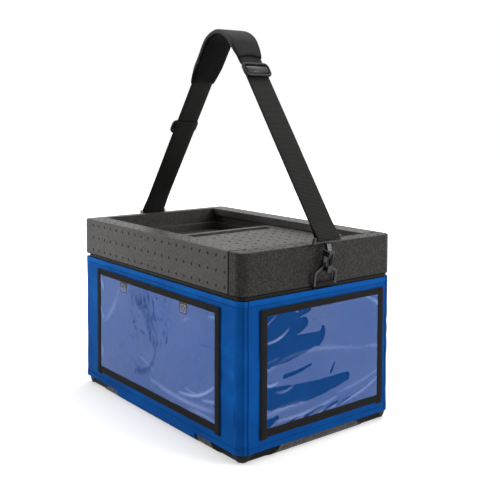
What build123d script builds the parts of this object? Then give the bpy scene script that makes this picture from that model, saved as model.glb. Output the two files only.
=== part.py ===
"""Insulated vaccine carrier: foam box and lid, fabric sleeve with document pockets, shoulder strap.

Millimetres. The origin is on the floor under the centre of the box, +Z is up, +X points to the
end where the lid's separate block closes the cover's tracks, and -Y is the front long side.
"""

import os
from math import atan2, cos, degrees, hypot, radians, sin, sqrt, tan

from build123d import *

# ---- outside of the box and its lid ----
length = 600.0
width = 400.0
corner_radius = 20.0
fit_gap = 0.3                  # between pieces that are slipped together or move past each other
floor_gap = 0.5                # straps and sling under the box stay this far above the floor

# ---- foam body ----
body_height = 310.0
body_wall = 30.0
body_floor = 35.0
foot_radius = 12.0
cavity_radius = 14.0
rib_depth = 10.0
rib_height = 80.0

# ---- coolant packs ----
pack_width = 120.0
pack_height = 190.0
pack_thickness = 34.0
pack_edge = 7.0
pack_spacing = 6.0             # gap between neighbours, which holds a guide rib
neck_radius = 12.0
neck_height = 7.0
cap_wall = 3.0
cap_top = 2.5

# ---- lid ----
lid_height = 82.0
lid_edge = 3.0
long_rim = 45.0
left_rim = 23.0
end_block = 38.0
track_drop = 35.0              # from the lid's top to the ledge that the cover slides on
track_height = 18.0
track_depth = 9.0
tray_drop = 54.0
tray_ledge = 9.0
beam_inset = 17.0              # from the cover's free edge to the tray's wall under it
beam_width = 32.0
end_ledge = 10.0
tongue_depth = 9.0
key_length = 12.0
key_width = 20.0
key_height = 30.0
key_base = 10.0                # from the lid's underside to the key

# ---- sliding cover ----
cover_length = 309.0           # from the lid's seam to the free edge
cover_play = 1.0               # of the cover's thickness in its track
ridge_width = 14.0
groove_width = 31.0
groove_length = 264.0
groove_depth = 11.0

# ---- sleeve ----
sleeve_thickness = 3.0
sleeve_hem = 19.0
sleeve_gap = 7.0               # between the sleeve's top edge and the lid
sling_length = 310.0

# ---- straps under the corners ----
corner_strap_width = 46.0
corner_strap_thickness = 1.6
corner_strap_offset = 33.0     # from the corner to the strap's middle, along the diagonal
corner_strap_top = 45.0

# ---- document pockets ----
pocket_rise = 24.0             # from the hem to the pocket
pocket_drop = 17.0             # from the sleeve's top edge to the pocket
long_pocket = 477.0
end_pocket = 328.0
tape_width = 16.0
tape_thickness = 1.2
tape_tail = 3.0
film_thickness = 0.6
film_margin = 3.0
closure_tab_width = 29.0
closure_tab_height = 23.0
closure_tab_thickness = 1.5
closure_tab_offset = 117.0

# ---- D-rings and the webbing that holds them ----
ring_bar_out = 6.5             # from the box's end to the ring's lower bar
ring_bar_rise = 4.5            # from the body's top to that bar
ring_section = 6.0
ring_thickness = 4.6
ring_width = 60.0
ring_shoulder = 24.5
ring_height = 38.0
ring_flat = 14.0
ring_lean = 7.0
webbing_thickness = 1.6
ring_tab_play = 1.0            # beside the webbing, on each side
ring_tab_sewn = 58.0           # length of webbing behind the sleeve
ring_tab_bend = 2.0            # above the sleeve's top edge

# ---- snap hooks ----
hook_offset = 0.25             # of the hook's rod outside the ring's middle
ring_seat = 0.4                # between the rod and the ring that it hangs in
rod_radius = 3.5
throat_room = 3.7              # beside the ring in the hook's throat
spine_thickness = 3.5
spine_width = 10.0
nose_height = 11.0
gate_gap = 0.5
gate_thickness = 3.2
gate_width = 6.4
gate_pivot = 31.0
gate_pin_radius = 1.5
pin_play = 0.08
heel_clearance = 0.5
housing_base = 27.0
housing_height = 11.0
housing_width = 14.0
spring_slot = 2.2
shank_width = 12.0
shank_thickness = 13.0
frame_play = 2.0               # beside the strap in the hook's frame and the adjusters
frame_bar = 5.0
frame_depth = 6.0
frame_arm = 5.0

# ---- shoulder strap ----
strap_bar_out = 11.0           # from the hook's rod to the bar in the strap's loop
strap_bar_rise = 50.5
strap_bar_radius = 3.0
strap_lean = 34.5              # of each leg from the vertical
strap_width = 58.0
strap_thickness = 2.0
crown_radius = 50.0
layer_gap = 0.3
loop_play = 0.3
loop_run = 45.0                # the two layers meet this far along a leg
tail = 18.0                    # of the doubled layer past its adjuster

# ---- adjusters on the legs ----
slider_right = 410.0           # along each leg from the hook's bar
slider_left = 258.5
slider_length = 35.0
slider_height = 4.5
slider_rail = 5.0
wrap_rise = 2.4
wrap_thickness = 2.0
wrap_crown = 5.0

# ---- shoulder pad ----
pad_margin = 11.0              # of the pad beside the webbing
pad_thickness = 9.3
pad_gap = 23.5                 # from the right adjuster to the pad
pad_left = 382.0
pad_taper = 34.0
pad_end_margin = 2.0

lid_base = body_height
lid_top = lid_base + lid_height
body_inset = sleeve_thickness + fit_gap
body_half_x = length / 2 - body_inset
body_half_y = width / 2 - body_inset
cavity_half_x = body_half_x - body_wall
cavity_half_y = body_half_y - body_wall
seam_x = length / 2 - end_block
sleeve_top = body_height - sleeve_gap
cover_left = seam_x - cover_length
cover_thickness = track_height - cover_play
beam_left = cover_left + beam_inset
beam_right = beam_left + beam_width
pack_pitch = pack_width + pack_spacing
end_room = 2 * (cavity_half_y - pack_thickness - fit_gap)
packs_per_side = int((2 * cavity_half_x + pack_spacing) // pack_pitch)
packs_per_end = int((end_room + pack_spacing) // pack_pitch)
pocket_low = sleeve_hem + pocket_rise
pocket_high = sleeve_top - pocket_drop
pocket_height = pocket_high - pocket_low
pocket_middle = (pocket_high + pocket_low) / 2

ring_bar_x = length / 2 + ring_bar_out
ring_bar_z = body_height + ring_bar_rise
ring_tab_width = ring_width - 2 * (ring_section + ring_tab_play)
ring_tab_low = sleeve_top - ring_tab_sewn
ring_slope = radians(ring_lean)
throat_half = ring_thickness / 2 + throat_room
hook_x = ring_bar_x + (ring_height - ring_section / 2) * sin(ring_slope) + hook_offset
hook_z = ring_bar_z + (ring_height - ring_section) * cos(ring_slope) - rod_radius - ring_seat
strap_bar_x = hook_x + strap_bar_out
strap_bar_z = hook_z + strap_bar_rise
spring_radius = gate_thickness - heel_clearance
frame_width = strap_width + 2 * (frame_arm + frame_play)
slider_width = strap_width + 2 * (slider_rail + frame_play)
pad_width = strap_width + 2 * pad_margin
pad_end_width = strap_width + 2 * pad_end_margin
pad_right = slider_right + slider_length / 2 + pad_gap


def span(x, y, z):
    """A box between two values on each axis."""
    middle = Pos((x[0] + x[1]) / 2, (y[0] + y[1]) / 2, (z[0] + z[1]) / 2)
    return middle * Box(x[1] - x[0], y[1] - y[0], z[1] - z[0])


def rounded_block(x_size, y_size, z_low, z_high, radius):
    """An upright block with rounded vertical corners."""
    return Pos(0, 0, z_low) * extrude(RectangleRounded(x_size, y_size, radius), z_high - z_low)


def envelope(inset, z_low, z_high, bottom_radius):
    """The box's outside, drawn in by inset, with a rounded bottom edge."""
    corner = corner_radius - inset
    block = rounded_block(length - 2 * inset, width - 2 * inset, z_low, z_high, corner)
    rim = block.edges().group_by(Axis.Z)[0]
    return fillet(rim, min(bottom_radius, corner - 1))


def turned(outline, depth):
    """A solid of the given depth along Y from an outline drawn as x and z."""
    return extrude(Plane.XZ * outline, depth / 2, both=True)


def save(node, shape):
    """Write one sub-part."""
    shape.label = node
    export_step(shape, f"parts/{node}.step")


def corner_band(inset, band_width, top):
    """The diagonal band of space round one bottom corner that a strap of this width takes."""
    slope = 1 / sqrt(2)
    normal = Vector(-slope, slope, -slope)
    corner = Vector(length / 2 - inset, -width / 2 + inset, 0)
    middle = corner + Vector(-slope, slope, 0) * corner_strap_offset
    reach = 6 * corner_strap_width
    slab = Plane(origin=middle, z_dir=normal) * Box(reach, reach, band_width / normal.length)
    near = span((0, length), (-width, 0), (-1, top))
    return slab & near


def four_corners(shape):
    """The same shape at each corner, in the order front right, front left, back right, back left."""
    left = mirror(shape, about=Plane.YZ)
    return [shape, left, mirror(shape, about=Plane.XZ), mirror(left, about=Plane.XZ)]


def corner_straps():
    """Webbing that passes diagonally under each bottom corner and up behind the hem."""
    outer_inset = body_inset + floor_gap
    outer = envelope(outer_inset, floor_gap, body_height, foot_radius - floor_gap)
    depth = outer_inset + corner_strap_thickness
    inner = envelope(depth, floor_gap + corner_strap_thickness, body_height,
                     foot_radius - floor_gap - corner_strap_thickness)
    band = corner_band(body_inset, corner_strap_width, corner_strap_top)
    return four_corners((outer - inner) & band)


def corner_strap_grooves():
    """The recesses that the corner straps lie in."""
    depth = floor_gap + corner_strap_thickness + fit_gap
    outside = span((0, length), (-width, 0), (-1, body_height / 2))
    core = envelope(body_inset + depth, depth, body_height, foot_radius - depth)
    band = corner_band(body_inset, corner_strap_width + 2 * fit_gap, corner_strap_top + fit_gap)
    return four_corners((outside - core) & band)


def sling_form(clearance):
    """The space inside the sling, with a clearance."""
    inset = sleeve_thickness + clearance
    return envelope(inset, floor_gap + inset, body_height, foot_radius - clearance)


def base_sling():
    """Fabric that passes under the box and meets the sleeve's hem on both long sides."""
    outer = envelope(0, floor_gap, sleeve_hem, foot_radius + sleeve_thickness)
    half = sling_length / 2
    strip = span((-half, half), (-width, width), (0, sleeve_hem))
    return (outer - sling_form(0)) & strip


def ring_tab_recess():
    """The recess that a ring's webbing lies in, at the right end of the body."""
    half = ring_tab_width / 2 + fit_gap
    deep = 2 * webbing_thickness + 2 * fit_gap
    return span((body_half_x - deep, length), (-half, half), (ring_tab_low - fit_gap, lid_top))


def body():
    """Foam box with wall, floor, guide ribs and recesses for the webbing."""
    shell = envelope(body_inset, 0, body_height, foot_radius)
    cavity = rounded_block(2 * cavity_half_x, 2 * cavity_half_y, body_floor, lid_top, cavity_radius)
    shell -= cavity
    rib = pack_spacing - 2 * fit_gap
    top = body_floor + rib_height
    for i in range(packs_per_side - 1):
        x = (i - (packs_per_side - 2) / 2) * pack_pitch
        for side in (-1, 1):
            wall = side * cavity_half_y
            y = sorted((wall, wall - side * rib_depth))
            shell += span((x - rib / 2, x + rib / 2), y, (body_floor, top))
    for i in range(packs_per_end - 1):
        y = (i - (packs_per_end - 2) / 2) * pack_pitch
        for side in (-1, 1):
            wall = side * cavity_half_x
            x = sorted((wall, wall - side * rib_depth))
            shell += span(x, (y - rib / 2, y + rib / 2), (body_floor, top))
    channel = span((-sling_length / 2 - fit_gap, sling_length / 2 + fit_gap), (-width, width),
                   (-1, sleeve_hem))
    shell -= channel - sling_form(fit_gap)
    recess = ring_tab_recess()
    shell -= recess
    shell -= mirror(recess, about=Plane.YZ)
    for groove in corner_strap_grooves():
        shell -= groove
    return shell


def pack_places():
    """Centre and turn of each coolant pack on the floor of the body."""
    y = cavity_half_y - fit_gap - pack_thickness / 2
    x = cavity_half_x - fit_gap - pack_thickness / 2
    places = []
    for side in (-1, 1):
        for i in range(packs_per_side):
            places.append(Pos((i - (packs_per_side - 1) / 2) * pack_pitch, side * y, body_floor))
    for side in (-1, 1):
        for i in range(packs_per_end):
            along = (i - (packs_per_end - 1) / 2) * pack_pitch
            places.append(Pos(side * x, along, body_floor) * Rot(0, 0, 90))
    return places


def ice_pack():
    """Filled plastic pack standing on its short side, with its neck on top."""
    shape = Pos(0, 0, pack_height / 2) * Box(pack_width, pack_thickness, pack_height)
    shape = fillet(shape.edges(), pack_edge)
    neck = Pos(0, 0, pack_height + neck_height / 2) * Cylinder(neck_radius, neck_height)
    return shape + neck


def ice_pack_cap():
    """Screw cap over a pack's neck."""
    outer = neck_radius + fit_gap + cap_wall
    tall = neck_height + cap_top
    cap = Pos(0, 0, pack_height + tall / 2) * Cylinder(outer, tall)
    cap = fillet(cap.edges().group_by(Axis.Z)[-1], cap_top / 2)
    return cap - Pos(0, 0, pack_height + neck_height / 2) * Cylinder(neck_radius + fit_gap, neck_height)


def lid_keys(clearance):
    """The two tongues by which the end block is fixed in the long rims."""
    low = lid_base + key_base - clearance
    high = low + key_height + 2 * clearance
    middle = width / 2 - long_rim / 2
    half = key_width / 2 + clearance
    x = (seam_x - key_length - clearance, seam_x + end_block / 2)
    keys = span(x, (middle - half, middle + half), (low, high))
    return keys + mirror(keys, about=Plane.XZ)


def lid_block():
    """The lid's outside with its tongue, before the wells are cut."""
    block = rounded_block(length, width, lid_base, lid_top, corner_radius)
    rims = block.edges().group_by(Axis.Z)
    block = fillet(rims[0] + rims[-1], lid_edge)
    tongue = rounded_block(2 * (cavity_half_x - fit_gap), 2 * (cavity_half_y - fit_gap),
                           lid_base - tongue_depth, lid_base + lid_edge, cavity_radius - fit_gap)
    return block + tongue


def lid_wells():
    """Everything open in the lid: the well over the ledge, tracks, tray and access opening."""
    ledge = lid_top - track_drop
    inner = width / 2 - long_rim
    left = -length / 2 + left_rim
    well = span((left, seam_x), (-inner, inner), (ledge, lid_top + 1))
    tracks = span((left, seam_x), (-inner - track_depth, inner + track_depth),
                  (ledge, ledge + track_height))
    tray = span((left + tray_ledge, beam_left), (-inner, inner), (lid_top - tray_drop, ledge + 1))
    access = span((beam_right, seam_x - end_ledge), (-inner, inner), (lid_base - length, ledge + 1))
    return well + tracks + tray + access


def lid_frame():
    """Lid with tray, tracks and access opening, open at its right end."""
    piece = lid_block() - lid_wells()
    piece &= span((-length, seam_x - fit_gap / 2), (-width, width), (0, 2 * lid_top))
    ledge = lid_top - track_drop
    inner = width / 2 - long_rim
    gate_way = span((seam_x - end_ledge - fit_gap, length), (-inner, inner), (0, ledge + 1))
    return piece - gate_way - lid_keys(fit_gap)


def lid_end_block():
    """Block that closes the tracks, with the ledge that the cover's end rests on."""
    piece = lid_block() & span((seam_x + fit_gap / 2, length), (-width, width), (0, 2 * lid_top))
    inner = width / 2 - long_rim - fit_gap
    tongue_low = lid_base - tongue_depth
    shelf = span((seam_x - end_ledge, seam_x + end_block / 4), (-inner, inner),
                 (lid_base, lid_top - track_drop))
    lip = span((seam_x - end_ledge, cavity_half_x - fit_gap), (-inner, inner),
               (tongue_low, lid_base + lid_edge))
    return piece + shelf + lip + lid_keys(0)


def sliding_cover():
    """Cover that slides in the tracks, with a ridge and a groove for the fingers."""
    low = lid_top - track_drop + fit_gap
    top = low + cover_thickness
    half = width / 2 - long_rim + track_depth - fit_gap
    slab = span((cover_left, seam_x - fit_gap), (-half, half), (low, top))
    middle = cover_left + ridge_width + groove_width / 2
    groove = extrude(SlotOverall(groove_length, groove_width, rotation=90), groove_depth + 1)
    return slab - Pos(middle, 0, top - groove_depth) * groove


def sleeve():
    """Fabric wall round the box."""
    outer = rounded_block(length, width, sleeve_hem, sleeve_top, corner_radius)
    inner = rounded_block(length - 2 * sleeve_thickness, width - 2 * sleeve_thickness,
                          sleeve_hem - 1, sleeve_top + 1, corner_radius - sleeve_thickness)
    return outer - inner


def face_plane(side):
    """A plane on one face of the sleeve, x along the face and y up."""
    planes = {
        "front": Plane((0, -width / 2, pocket_middle), (1, 0, 0), (0, -1, 0)),
        "back": Plane((0, width / 2, pocket_middle), (-1, 0, 0), (0, 1, 0)),
        "right": Plane((length / 2, 0, pocket_middle), (0, 1, 0), (1, 0, 0)),
        "left": Plane((-length / 2, 0, pocket_middle), (0, -1, 0), (-1, 0, 0)),
    }
    return planes[side]


def pocket_film(side, pocket_length):
    """Clear sheet of a document pocket."""
    sheet = Box(pocket_length - 2 * film_margin, pocket_height - 2 * film_margin, film_thickness)
    return face_plane(side) * Pos(0, 0, fit_gap + film_thickness / 2) * sheet


def pocket_binding(side, pocket_length):
    """Tape sewn round a document pocket, its upright runs a little longer than the pocket."""
    frame = Rectangle(pocket_length, pocket_height)
    upright = Rectangle(tape_width, pocket_height + 2 * tape_tail)
    for end in (-1, 1):
        frame += Pos(end * (pocket_length - tape_width) / 2, 0) * upright
    frame -= Rectangle(pocket_length - 2 * tape_width, pocket_height - 2 * tape_width)
    tape = extrude(frame, tape_thickness)
    return face_plane(side) * Pos(0, 0, fit_gap + film_thickness) * tape


def pocket_tabs(side):
    """Two closure tabs under the upper tape of a long pocket."""
    tab = Box(closure_tab_width, closure_tab_height, closure_tab_thickness)
    y = pocket_height / 2 - tape_width - closure_tab_height / 2
    z = fit_gap + film_thickness + closure_tab_thickness / 2
    return [face_plane(side) * Pos(end * closure_tab_offset, y, z) * tab for end in (-1, 1)]


def d_ring():
    """House-shaped ring at the right end, standing from its round lower bar."""
    half = ring_width / 2
    low = -ring_section / 2
    outline = make_face(Polyline(
        (-half, low), (half, low), (half, ring_shoulder), (ring_flat / 2, ring_height),
        (-ring_flat / 2, ring_height), (-half, ring_shoulder), close=True))
    inside = offset(outline, -ring_section, kind=Kind.INTERSECTION)
    plate = extrude(Plane.YZ * (outline - inside), ring_thickness / 2, both=True)
    plate = chamfer(plate.edges().filter_by(GeomType.LINE).filter_by(Axis.X, reverse=True),
                    ring_thickness / 6)
    bar_half = half - ring_section
    plate -= span((-ring_width, ring_width), (-bar_half, bar_half), (low - 1, ring_section))
    bar = Rot(90, 0, 0) * Cylinder(ring_section / 2, ring_width - ring_section)
    return Pos(ring_bar_x, 0, ring_bar_z) * Rot(0, ring_lean, 0) * (plate + bar)


def flat_run(a, b, thickness):
    """Outline of a straight run of webbing between two points."""
    run = hypot(b[0] - a[0], b[1] - a[1])
    turn = degrees(atan2(b[1] - a[1], b[0] - a[0]))
    return Pos((a[0] + b[0]) / 2, (a[1] + b[1]) / 2) * Rot(0, 0, turn) * Rectangle(run, thickness)


def d_ring_tab():
    """Doubled webbing, sewn behind the sleeve, that comes out under the lid and holds the ring."""
    inner = ring_section / 2 + fit_gap
    loop = Pos(ring_bar_x, ring_bar_z) * Circle(inner + webbing_thickness)
    doubled = 2 * webbing_thickness
    x = length / 2 - sleeve_thickness - fit_gap - webbing_thickness
    bend = (x, sleeve_top + ring_tab_bend)
    loop += flat_run((ring_bar_x, ring_bar_z), bend, doubled)
    loop += Pos(*bend) * Circle(webbing_thickness)
    loop += flat_run(bend, (x, ring_tab_low), doubled)
    loop -= Pos(ring_bar_x, ring_bar_z) * Circle(inner)
    return turned(loop, ring_tab_width)


hook_length = hypot(strap_bar_rise, strap_bar_out)
hook_lean = degrees(atan2(strap_bar_out, strap_bar_rise))
hook_place = Pos(hook_x, 0, hook_z) * Rot(0, hook_lean, 0)
gate_low = nose_height + gate_gap
gate_inner = throat_half + fit_gap
gate_heel = Pos(gate_inner, 0, gate_pivot)


def along_y(radius, depth):
    """A round bar along Y."""
    return Rot(90, 0, 0) * Cylinder(radius, depth)


def hook_body():
    """Snap hook at the right end: webbing frame, shank, spine, rod and nose in one casting."""
    outer = throat_half + spine_thickness
    half = spine_width / 2
    housing_top = housing_base + housing_height
    hook = span((-outer, -throat_half), (-half, half), (-rod_radius, housing_top))
    hook += span((throat_half, outer), (-half, half), (-rod_radius, nose_height))
    hook += span((-outer, outer), (-housing_width / 2, housing_width / 2), (housing_base, housing_top))
    loop_outer = strap_bar_radius + loop_play + strap_thickness
    bar_top = hook_length - loop_outer - loop_play
    bar_low = bar_top - frame_bar
    shank = shank_thickness / 2
    hook += span((-shank, shank), (-shank_width / 2, shank_width / 2), (housing_top - 1, bar_low + 1))
    side = frame_width / 2
    depth = frame_depth / 2
    hook += span((-depth, depth), (-side, side), (bar_low, bar_top))
    for end in (-1, 1):
        arm = sorted((end * side, end * (side - frame_arm)))
        hook += span((-depth, depth), arm, (bar_low, hook_length + depth))
    hook += Pos(0, 0, hook_length) * along_y(strap_bar_radius, frame_width - frame_arm)
    slot_half = gate_width / 2 + fit_gap
    slot_back = gate_inner - gate_thickness - heel_clearance
    slot_top = gate_pivot + gate_thickness + heel_clearance
    hook -= span((slot_back, outer + 1), (-slot_half, slot_half), (gate_low, slot_top))
    hook -= gate_heel * along_y(gate_pin_radius, 2 * housing_width)
    hook = hook_place * hook
    rod_half = outer - 1
    return hook + Pos(hook_x, 0, hook_z) * Rot(0, 90, 0) * Cylinder(rod_radius, 2 * rod_half)


def hook_gate():
    """Gate of the hook, which swings inwards about its pin."""
    half = gate_width / 2
    lever = span((gate_inner, gate_inner + gate_thickness), (-half, half), (gate_low, gate_pivot))
    gate = lever + gate_heel * along_y(gate_thickness, gate_width)
    gate -= gate_heel * along_y(gate_pin_radius + pin_play, 2 * gate_width)
    gate -= gate_heel * along_y(gate_thickness, spring_slot)
    return hook_place * gate


def hook_gate_pin():
    """Pin of the gate, pressed through the hook's housing."""
    return hook_place * gate_heel * along_y(gate_pin_radius, housing_width)


def gate_spring():
    """Coil on the pin, in the gate's middle, with a leg on the roof of the housing's slot."""
    coil_width = spring_slot - 2 * fit_gap
    inner = gate_pin_radius + fit_gap
    coil = along_y(spring_radius, coil_width) - along_y(inner, 2 * coil_width)
    leg_top = gate_thickness + heel_clearance - fit_gap
    leg = span((-spring_radius, -inner), (-coil_width / 2, coil_width / 2), (0, leg_top))
    return hook_place * gate_heel * (coil + leg)


lean = radians(strap_lean)
leg_direction = (-sin(lean), cos(lean))
leg_normal = (cos(lean), sin(lean))
vertex_z = strap_bar_z + strap_bar_x / tan(lean)
leg_length = strap_bar_x / sin(lean) - crown_radius / tan(lean)
crown_z = vertex_z - crown_radius / sin(lean)
layer_middle = (layer_gap + strap_thickness) / 2


def on_leg(s, n):
    """A point of the right leg, s along it from the hook's bar and n out from its middle."""
    return (strap_bar_x + s * leg_direction[0] + n * leg_normal[0],
            strap_bar_z + s * leg_direction[1] + n * leg_normal[1])


def mirrored(points):
    """The same points on the left leg."""
    return [(-x, z) for x, z in points]


def ribbon(points, thickness):
    """Outline of webbing along straight runs with round knees."""
    outline = None
    for a, b in zip(points, points[1:]):
        run = flat_run(a, b, thickness)
        outline = run if outline is None else outline + run
    for knee in points[1:-1]:
        outline += Pos(*knee) * Circle(thickness / 2)
    return outline


def crown(inner, outer):
    """Outline of the arc over the top, between two distances from the strap's middle."""
    reach = 2 * crown_radius
    far = (reach * leg_normal[0], reach * leg_normal[1])
    wedge = make_face(Polyline((0, 0), far, (far[0], reach), (-far[0], reach), (-far[0], far[1]), close=True))
    ring = Circle(crown_radius + outer) - Circle(crown_radius + inner)
    return Pos(0, crown_z) * (ring & wedge)


def strap_webbing():
    """One length of webbing, looped round both hooks' bars and doubled up to the adjusters."""
    middle = strap_bar_radius + loop_play + strap_thickness / 2
    outline = crown(layer_middle - strap_thickness / 2, layer_middle + strap_thickness / 2)
    for slider, side in ((slider_right, 1), (slider_left, -1)):
        outer = [on_leg(0, middle), on_leg(loop_run, layer_middle), on_leg(leg_length, layer_middle)]
        inner = [on_leg(0, -middle), on_leg(loop_run, -layer_middle), on_leg(slider + tail, -layer_middle)]
        bar = (strap_bar_x, strap_bar_z)
        if side < 0:
            outer, inner, bar = mirrored(outer), mirrored(inner), (-bar[0], bar[1])
        outline += ribbon(outer, strap_thickness) + ribbon(inner, strap_thickness)
        loop = Circle(middle + strap_thickness / 2) - Circle(middle - strap_thickness / 2)
        cut = Pos(0, middle * 2) * Rectangle(middle * 4, middle * 4)
        outline += Pos(*bar) * Rot(0, 0, side * strap_lean) * (loop - cut)
    return turned(outline, strap_width)


def leg_place(s):
    """Frame on the right leg: x out from it, y across it, z along it, at a distance from the bar."""
    x, z = on_leg(s, 0)
    return Pos(x, 0, z) * Rot(0, -strap_lean, 0)


def slider_frame():
    """Adjuster frame with two windows and a bar between them."""
    low = layer_middle + strap_thickness / 2 + fit_gap
    half = slider_length / 2
    side = slider_width / 2
    plate = span((low, low + slider_height), (-side, side), (-half, half))
    plate = fillet(plate.edges().filter_by(Axis.X), slider_rail / 2)
    plate = chamfer(plate.faces().sort_by(Axis.X)[-1].edges(), slider_height / 4)
    window = (slider_length - 3 * slider_rail) / 2
    inner = side - slider_rail
    for end in (-1, 1):
        z = sorted((end * slider_rail / 2, end * (slider_rail / 2 + window)))
        plate -= span((0, 2 * slider_height + low), (-inner, inner), z)
    return plate


def slider_wrap():
    """Webbing folded over the adjuster's middle bar, down through both windows."""
    low = layer_middle + strap_thickness / 2 + fit_gap
    top = low + slider_height + wrap_rise
    window = (slider_length - 3 * slider_rail) / 2
    foot = slider_rail / 2 + window - fit_gap
    shoulder = low + slider_height - wrap_thickness / 2
    outer = make_face(Polyline((low, -foot), (shoulder, -foot + 3), (top, -wrap_crown), (top, wrap_crown),
                               (shoulder, foot - 3), (low, foot), close=True))
    inner = offset(outer, -wrap_thickness, kind=Kind.INTERSECTION)
    opened = Pos(low, 0) * Rectangle(2 * wrap_thickness + 1, 2 * foot - 2 * wrap_thickness - 1)
    return turned(outer - inner - opened, strap_width)


def shoulder_pad():
    """Thick pad over the top of the strap, with the webbing running through it."""
    low = -(pad_thickness - strap_thickness) / 2 + layer_middle - strap_thickness / 2
    high = low + pad_thickness
    middle = (low + high) / 2
    right = [on_leg(pad_right, middle), on_leg(leg_length, middle)]
    left = mirrored([on_leg(pad_left, middle), on_leg(leg_length, middle)])
    outline = crown(low, high) + ribbon(right, pad_thickness) + ribbon(left, pad_thickness)
    pad = turned(outline, pad_width)
    inner = layer_middle - strap_thickness / 2 - fit_gap
    outer = layer_middle + strap_thickness / 2 + fit_gap
    past = pad_taper
    right = [on_leg(pad_right - past, layer_middle), on_leg(leg_length, layer_middle)]
    left = mirrored([on_leg(pad_left - past, layer_middle), on_leg(leg_length, layer_middle)])
    slot = crown(inner, outer) + ribbon(right, outer - inner) + ribbon(left, outer - inner)
    pad -= turned(slot, strap_width + 2 * fit_gap)
    narrow = (pad_width - pad_end_width) / 2
    corner = make_face(Polyline((pad_end_width / 2, 0), (pad_width, 0), (pad_width, pad_taper + 1),
                                (pad_width / 2, pad_taper), (pad_width / 2 - narrow / 3, pad_taper * 0.6),
                                close=True))
    wedge = extrude(Plane.YZ * corner, pad_thickness * 2, both=True)
    wedge += mirror(wedge, about=Plane.XZ)
    pad -= leg_place(pad_right) * wedge
    pad -= mirror(leg_place(pad_left) * wedge, about=Plane.YZ)
    return pad


def save_pair(node, shape):
    """Write a sub-part of the right end and its mirror image at the left end."""
    save(f"{node}_right", shape)
    save(f"{node}_left", mirror(shape, about=Plane.YZ))


os.makedirs("parts", exist_ok=True)

save("body", body())
save("lid_frame", lid_frame())
save("lid_end_block", lid_end_block())
save("sliding_cover", sliding_cover())
save("sleeve", sleeve())
save("base_sling", base_sling())

corner_names = ["front_right", "front_left", "back_right", "back_left"]
for name, strap in zip(corner_names, corner_straps()):
    save(f"corner_strap_{name}", strap)

for side, pocket_length in (("front", long_pocket), ("back", long_pocket),
                            ("right", end_pocket), ("left", end_pocket)):
    save(f"pocket_film_{side}", pocket_film(side, pocket_length))
    save(f"pocket_binding_{side}", pocket_binding(side, pocket_length))
for side in ("front", "back"):
    save(f"pocket_tabs_{side}", Compound(children=pocket_tabs(side)))

save_pair("d_ring_tab", d_ring_tab())
save_pair("d_ring", d_ring())
save_pair("hook_body", hook_body())
save_pair("hook_gate", hook_gate())
save_pair("hook_gate_pin", hook_gate_pin())
save_pair("gate_spring", gate_spring())

save("strap_webbing", strap_webbing())
save("shoulder_pad", shoulder_pad())
for part, maker in (("slider", slider_frame), ("slider_wrap", slider_wrap)):
    save(f"{part}_right", leg_place(slider_right) * maker())
    save(f"{part}_left", mirror(leg_place(slider_left) * maker(), about=Plane.YZ))

for number, place in enumerate(pack_places(), start=1):
    save(f"ice_pack_{number}", place * ice_pack())
save("ice_pack_caps", Compound(children=[place * ice_pack_cap() for place in pack_places()]))
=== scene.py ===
from math import cos, exp, hypot, pi, radians, sin, sqrt, tan

import bmesh
import bpy
import numpy as np
from mathutils import Euler, Matrix, Vector, noise


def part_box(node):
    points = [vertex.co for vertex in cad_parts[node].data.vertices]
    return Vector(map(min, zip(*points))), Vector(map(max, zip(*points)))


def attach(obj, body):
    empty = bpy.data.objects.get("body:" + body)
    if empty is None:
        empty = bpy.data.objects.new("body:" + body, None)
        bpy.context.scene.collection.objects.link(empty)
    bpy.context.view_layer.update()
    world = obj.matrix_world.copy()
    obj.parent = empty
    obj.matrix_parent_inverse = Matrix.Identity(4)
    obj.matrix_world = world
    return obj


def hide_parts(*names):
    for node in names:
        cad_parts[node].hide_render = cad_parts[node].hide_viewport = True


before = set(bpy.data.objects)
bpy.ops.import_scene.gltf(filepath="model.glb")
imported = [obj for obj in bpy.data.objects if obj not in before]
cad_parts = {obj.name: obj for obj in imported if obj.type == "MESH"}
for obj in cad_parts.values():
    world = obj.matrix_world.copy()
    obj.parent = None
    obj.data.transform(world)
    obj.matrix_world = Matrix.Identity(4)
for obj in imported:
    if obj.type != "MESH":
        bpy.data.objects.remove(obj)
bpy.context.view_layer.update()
print("frame loaded")

sides = (("right", 1), ("left", -1))
up = Vector((0, 0, 1))


# small helpers

def smoothStep(low, high, value):
    t = np.clip((value - low) / (high - low), 0, 1)
    return t * t * (3 - 2 * t)


def noiseField(across, along, scale, seed):
    return np.array([noise.noise(Vector((a * scale[0], b * scale[1], seed))) for a, b in zip(across, along)])


def strips(rows, columns, closed=False):
    # quads between the rows of a grid of points, numbered row by row
    quads = []
    for j in range(rows - 1):
        for i in range(columns if closed else columns - 1):
            a, b = j * columns + i, j * columns + (i + 1) % columns
            quads.append((a, b, b + columns, a + columns))
    return quads


def tubeFaces(first, rows, count):
    # the wall and both ends of a tube whose rings are numbered from first
    last = first + (rows - 1) * count
    wall = [tuple(first + v for v in quad) for quad in strips(rows, count, True)]
    return wall + [tuple(range(first + count - 1, first - 1, -1)), tuple(range(last, last + count))]


def roundedOutline(halfX, halfY, radius, steps):
    # (x, y, nx, ny) once round a rectangle with rounded corners
    outline = []
    for sx, sy, first in ((1, 1, 0), (-1, 1, 90), (-1, -1, 180), (1, -1, 270)):
        for i in range(steps + 1):
            c, s = cos(radians(first + 90 * i / steps)), sin(radians(first + 90 * i / steps))
            outline.append((sx * (halfX - radius) + radius * c, sy * (halfY - radius) + radius * s, c, s))
    return outline


def newMesh(name, points, faces, edges=()):
    mesh = bpy.data.meshes.new(name)
    mesh.from_pydata([tuple(p) for p in points], list(edges), [tuple(f) for f in faces])
    mesh.update()
    return mesh


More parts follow.
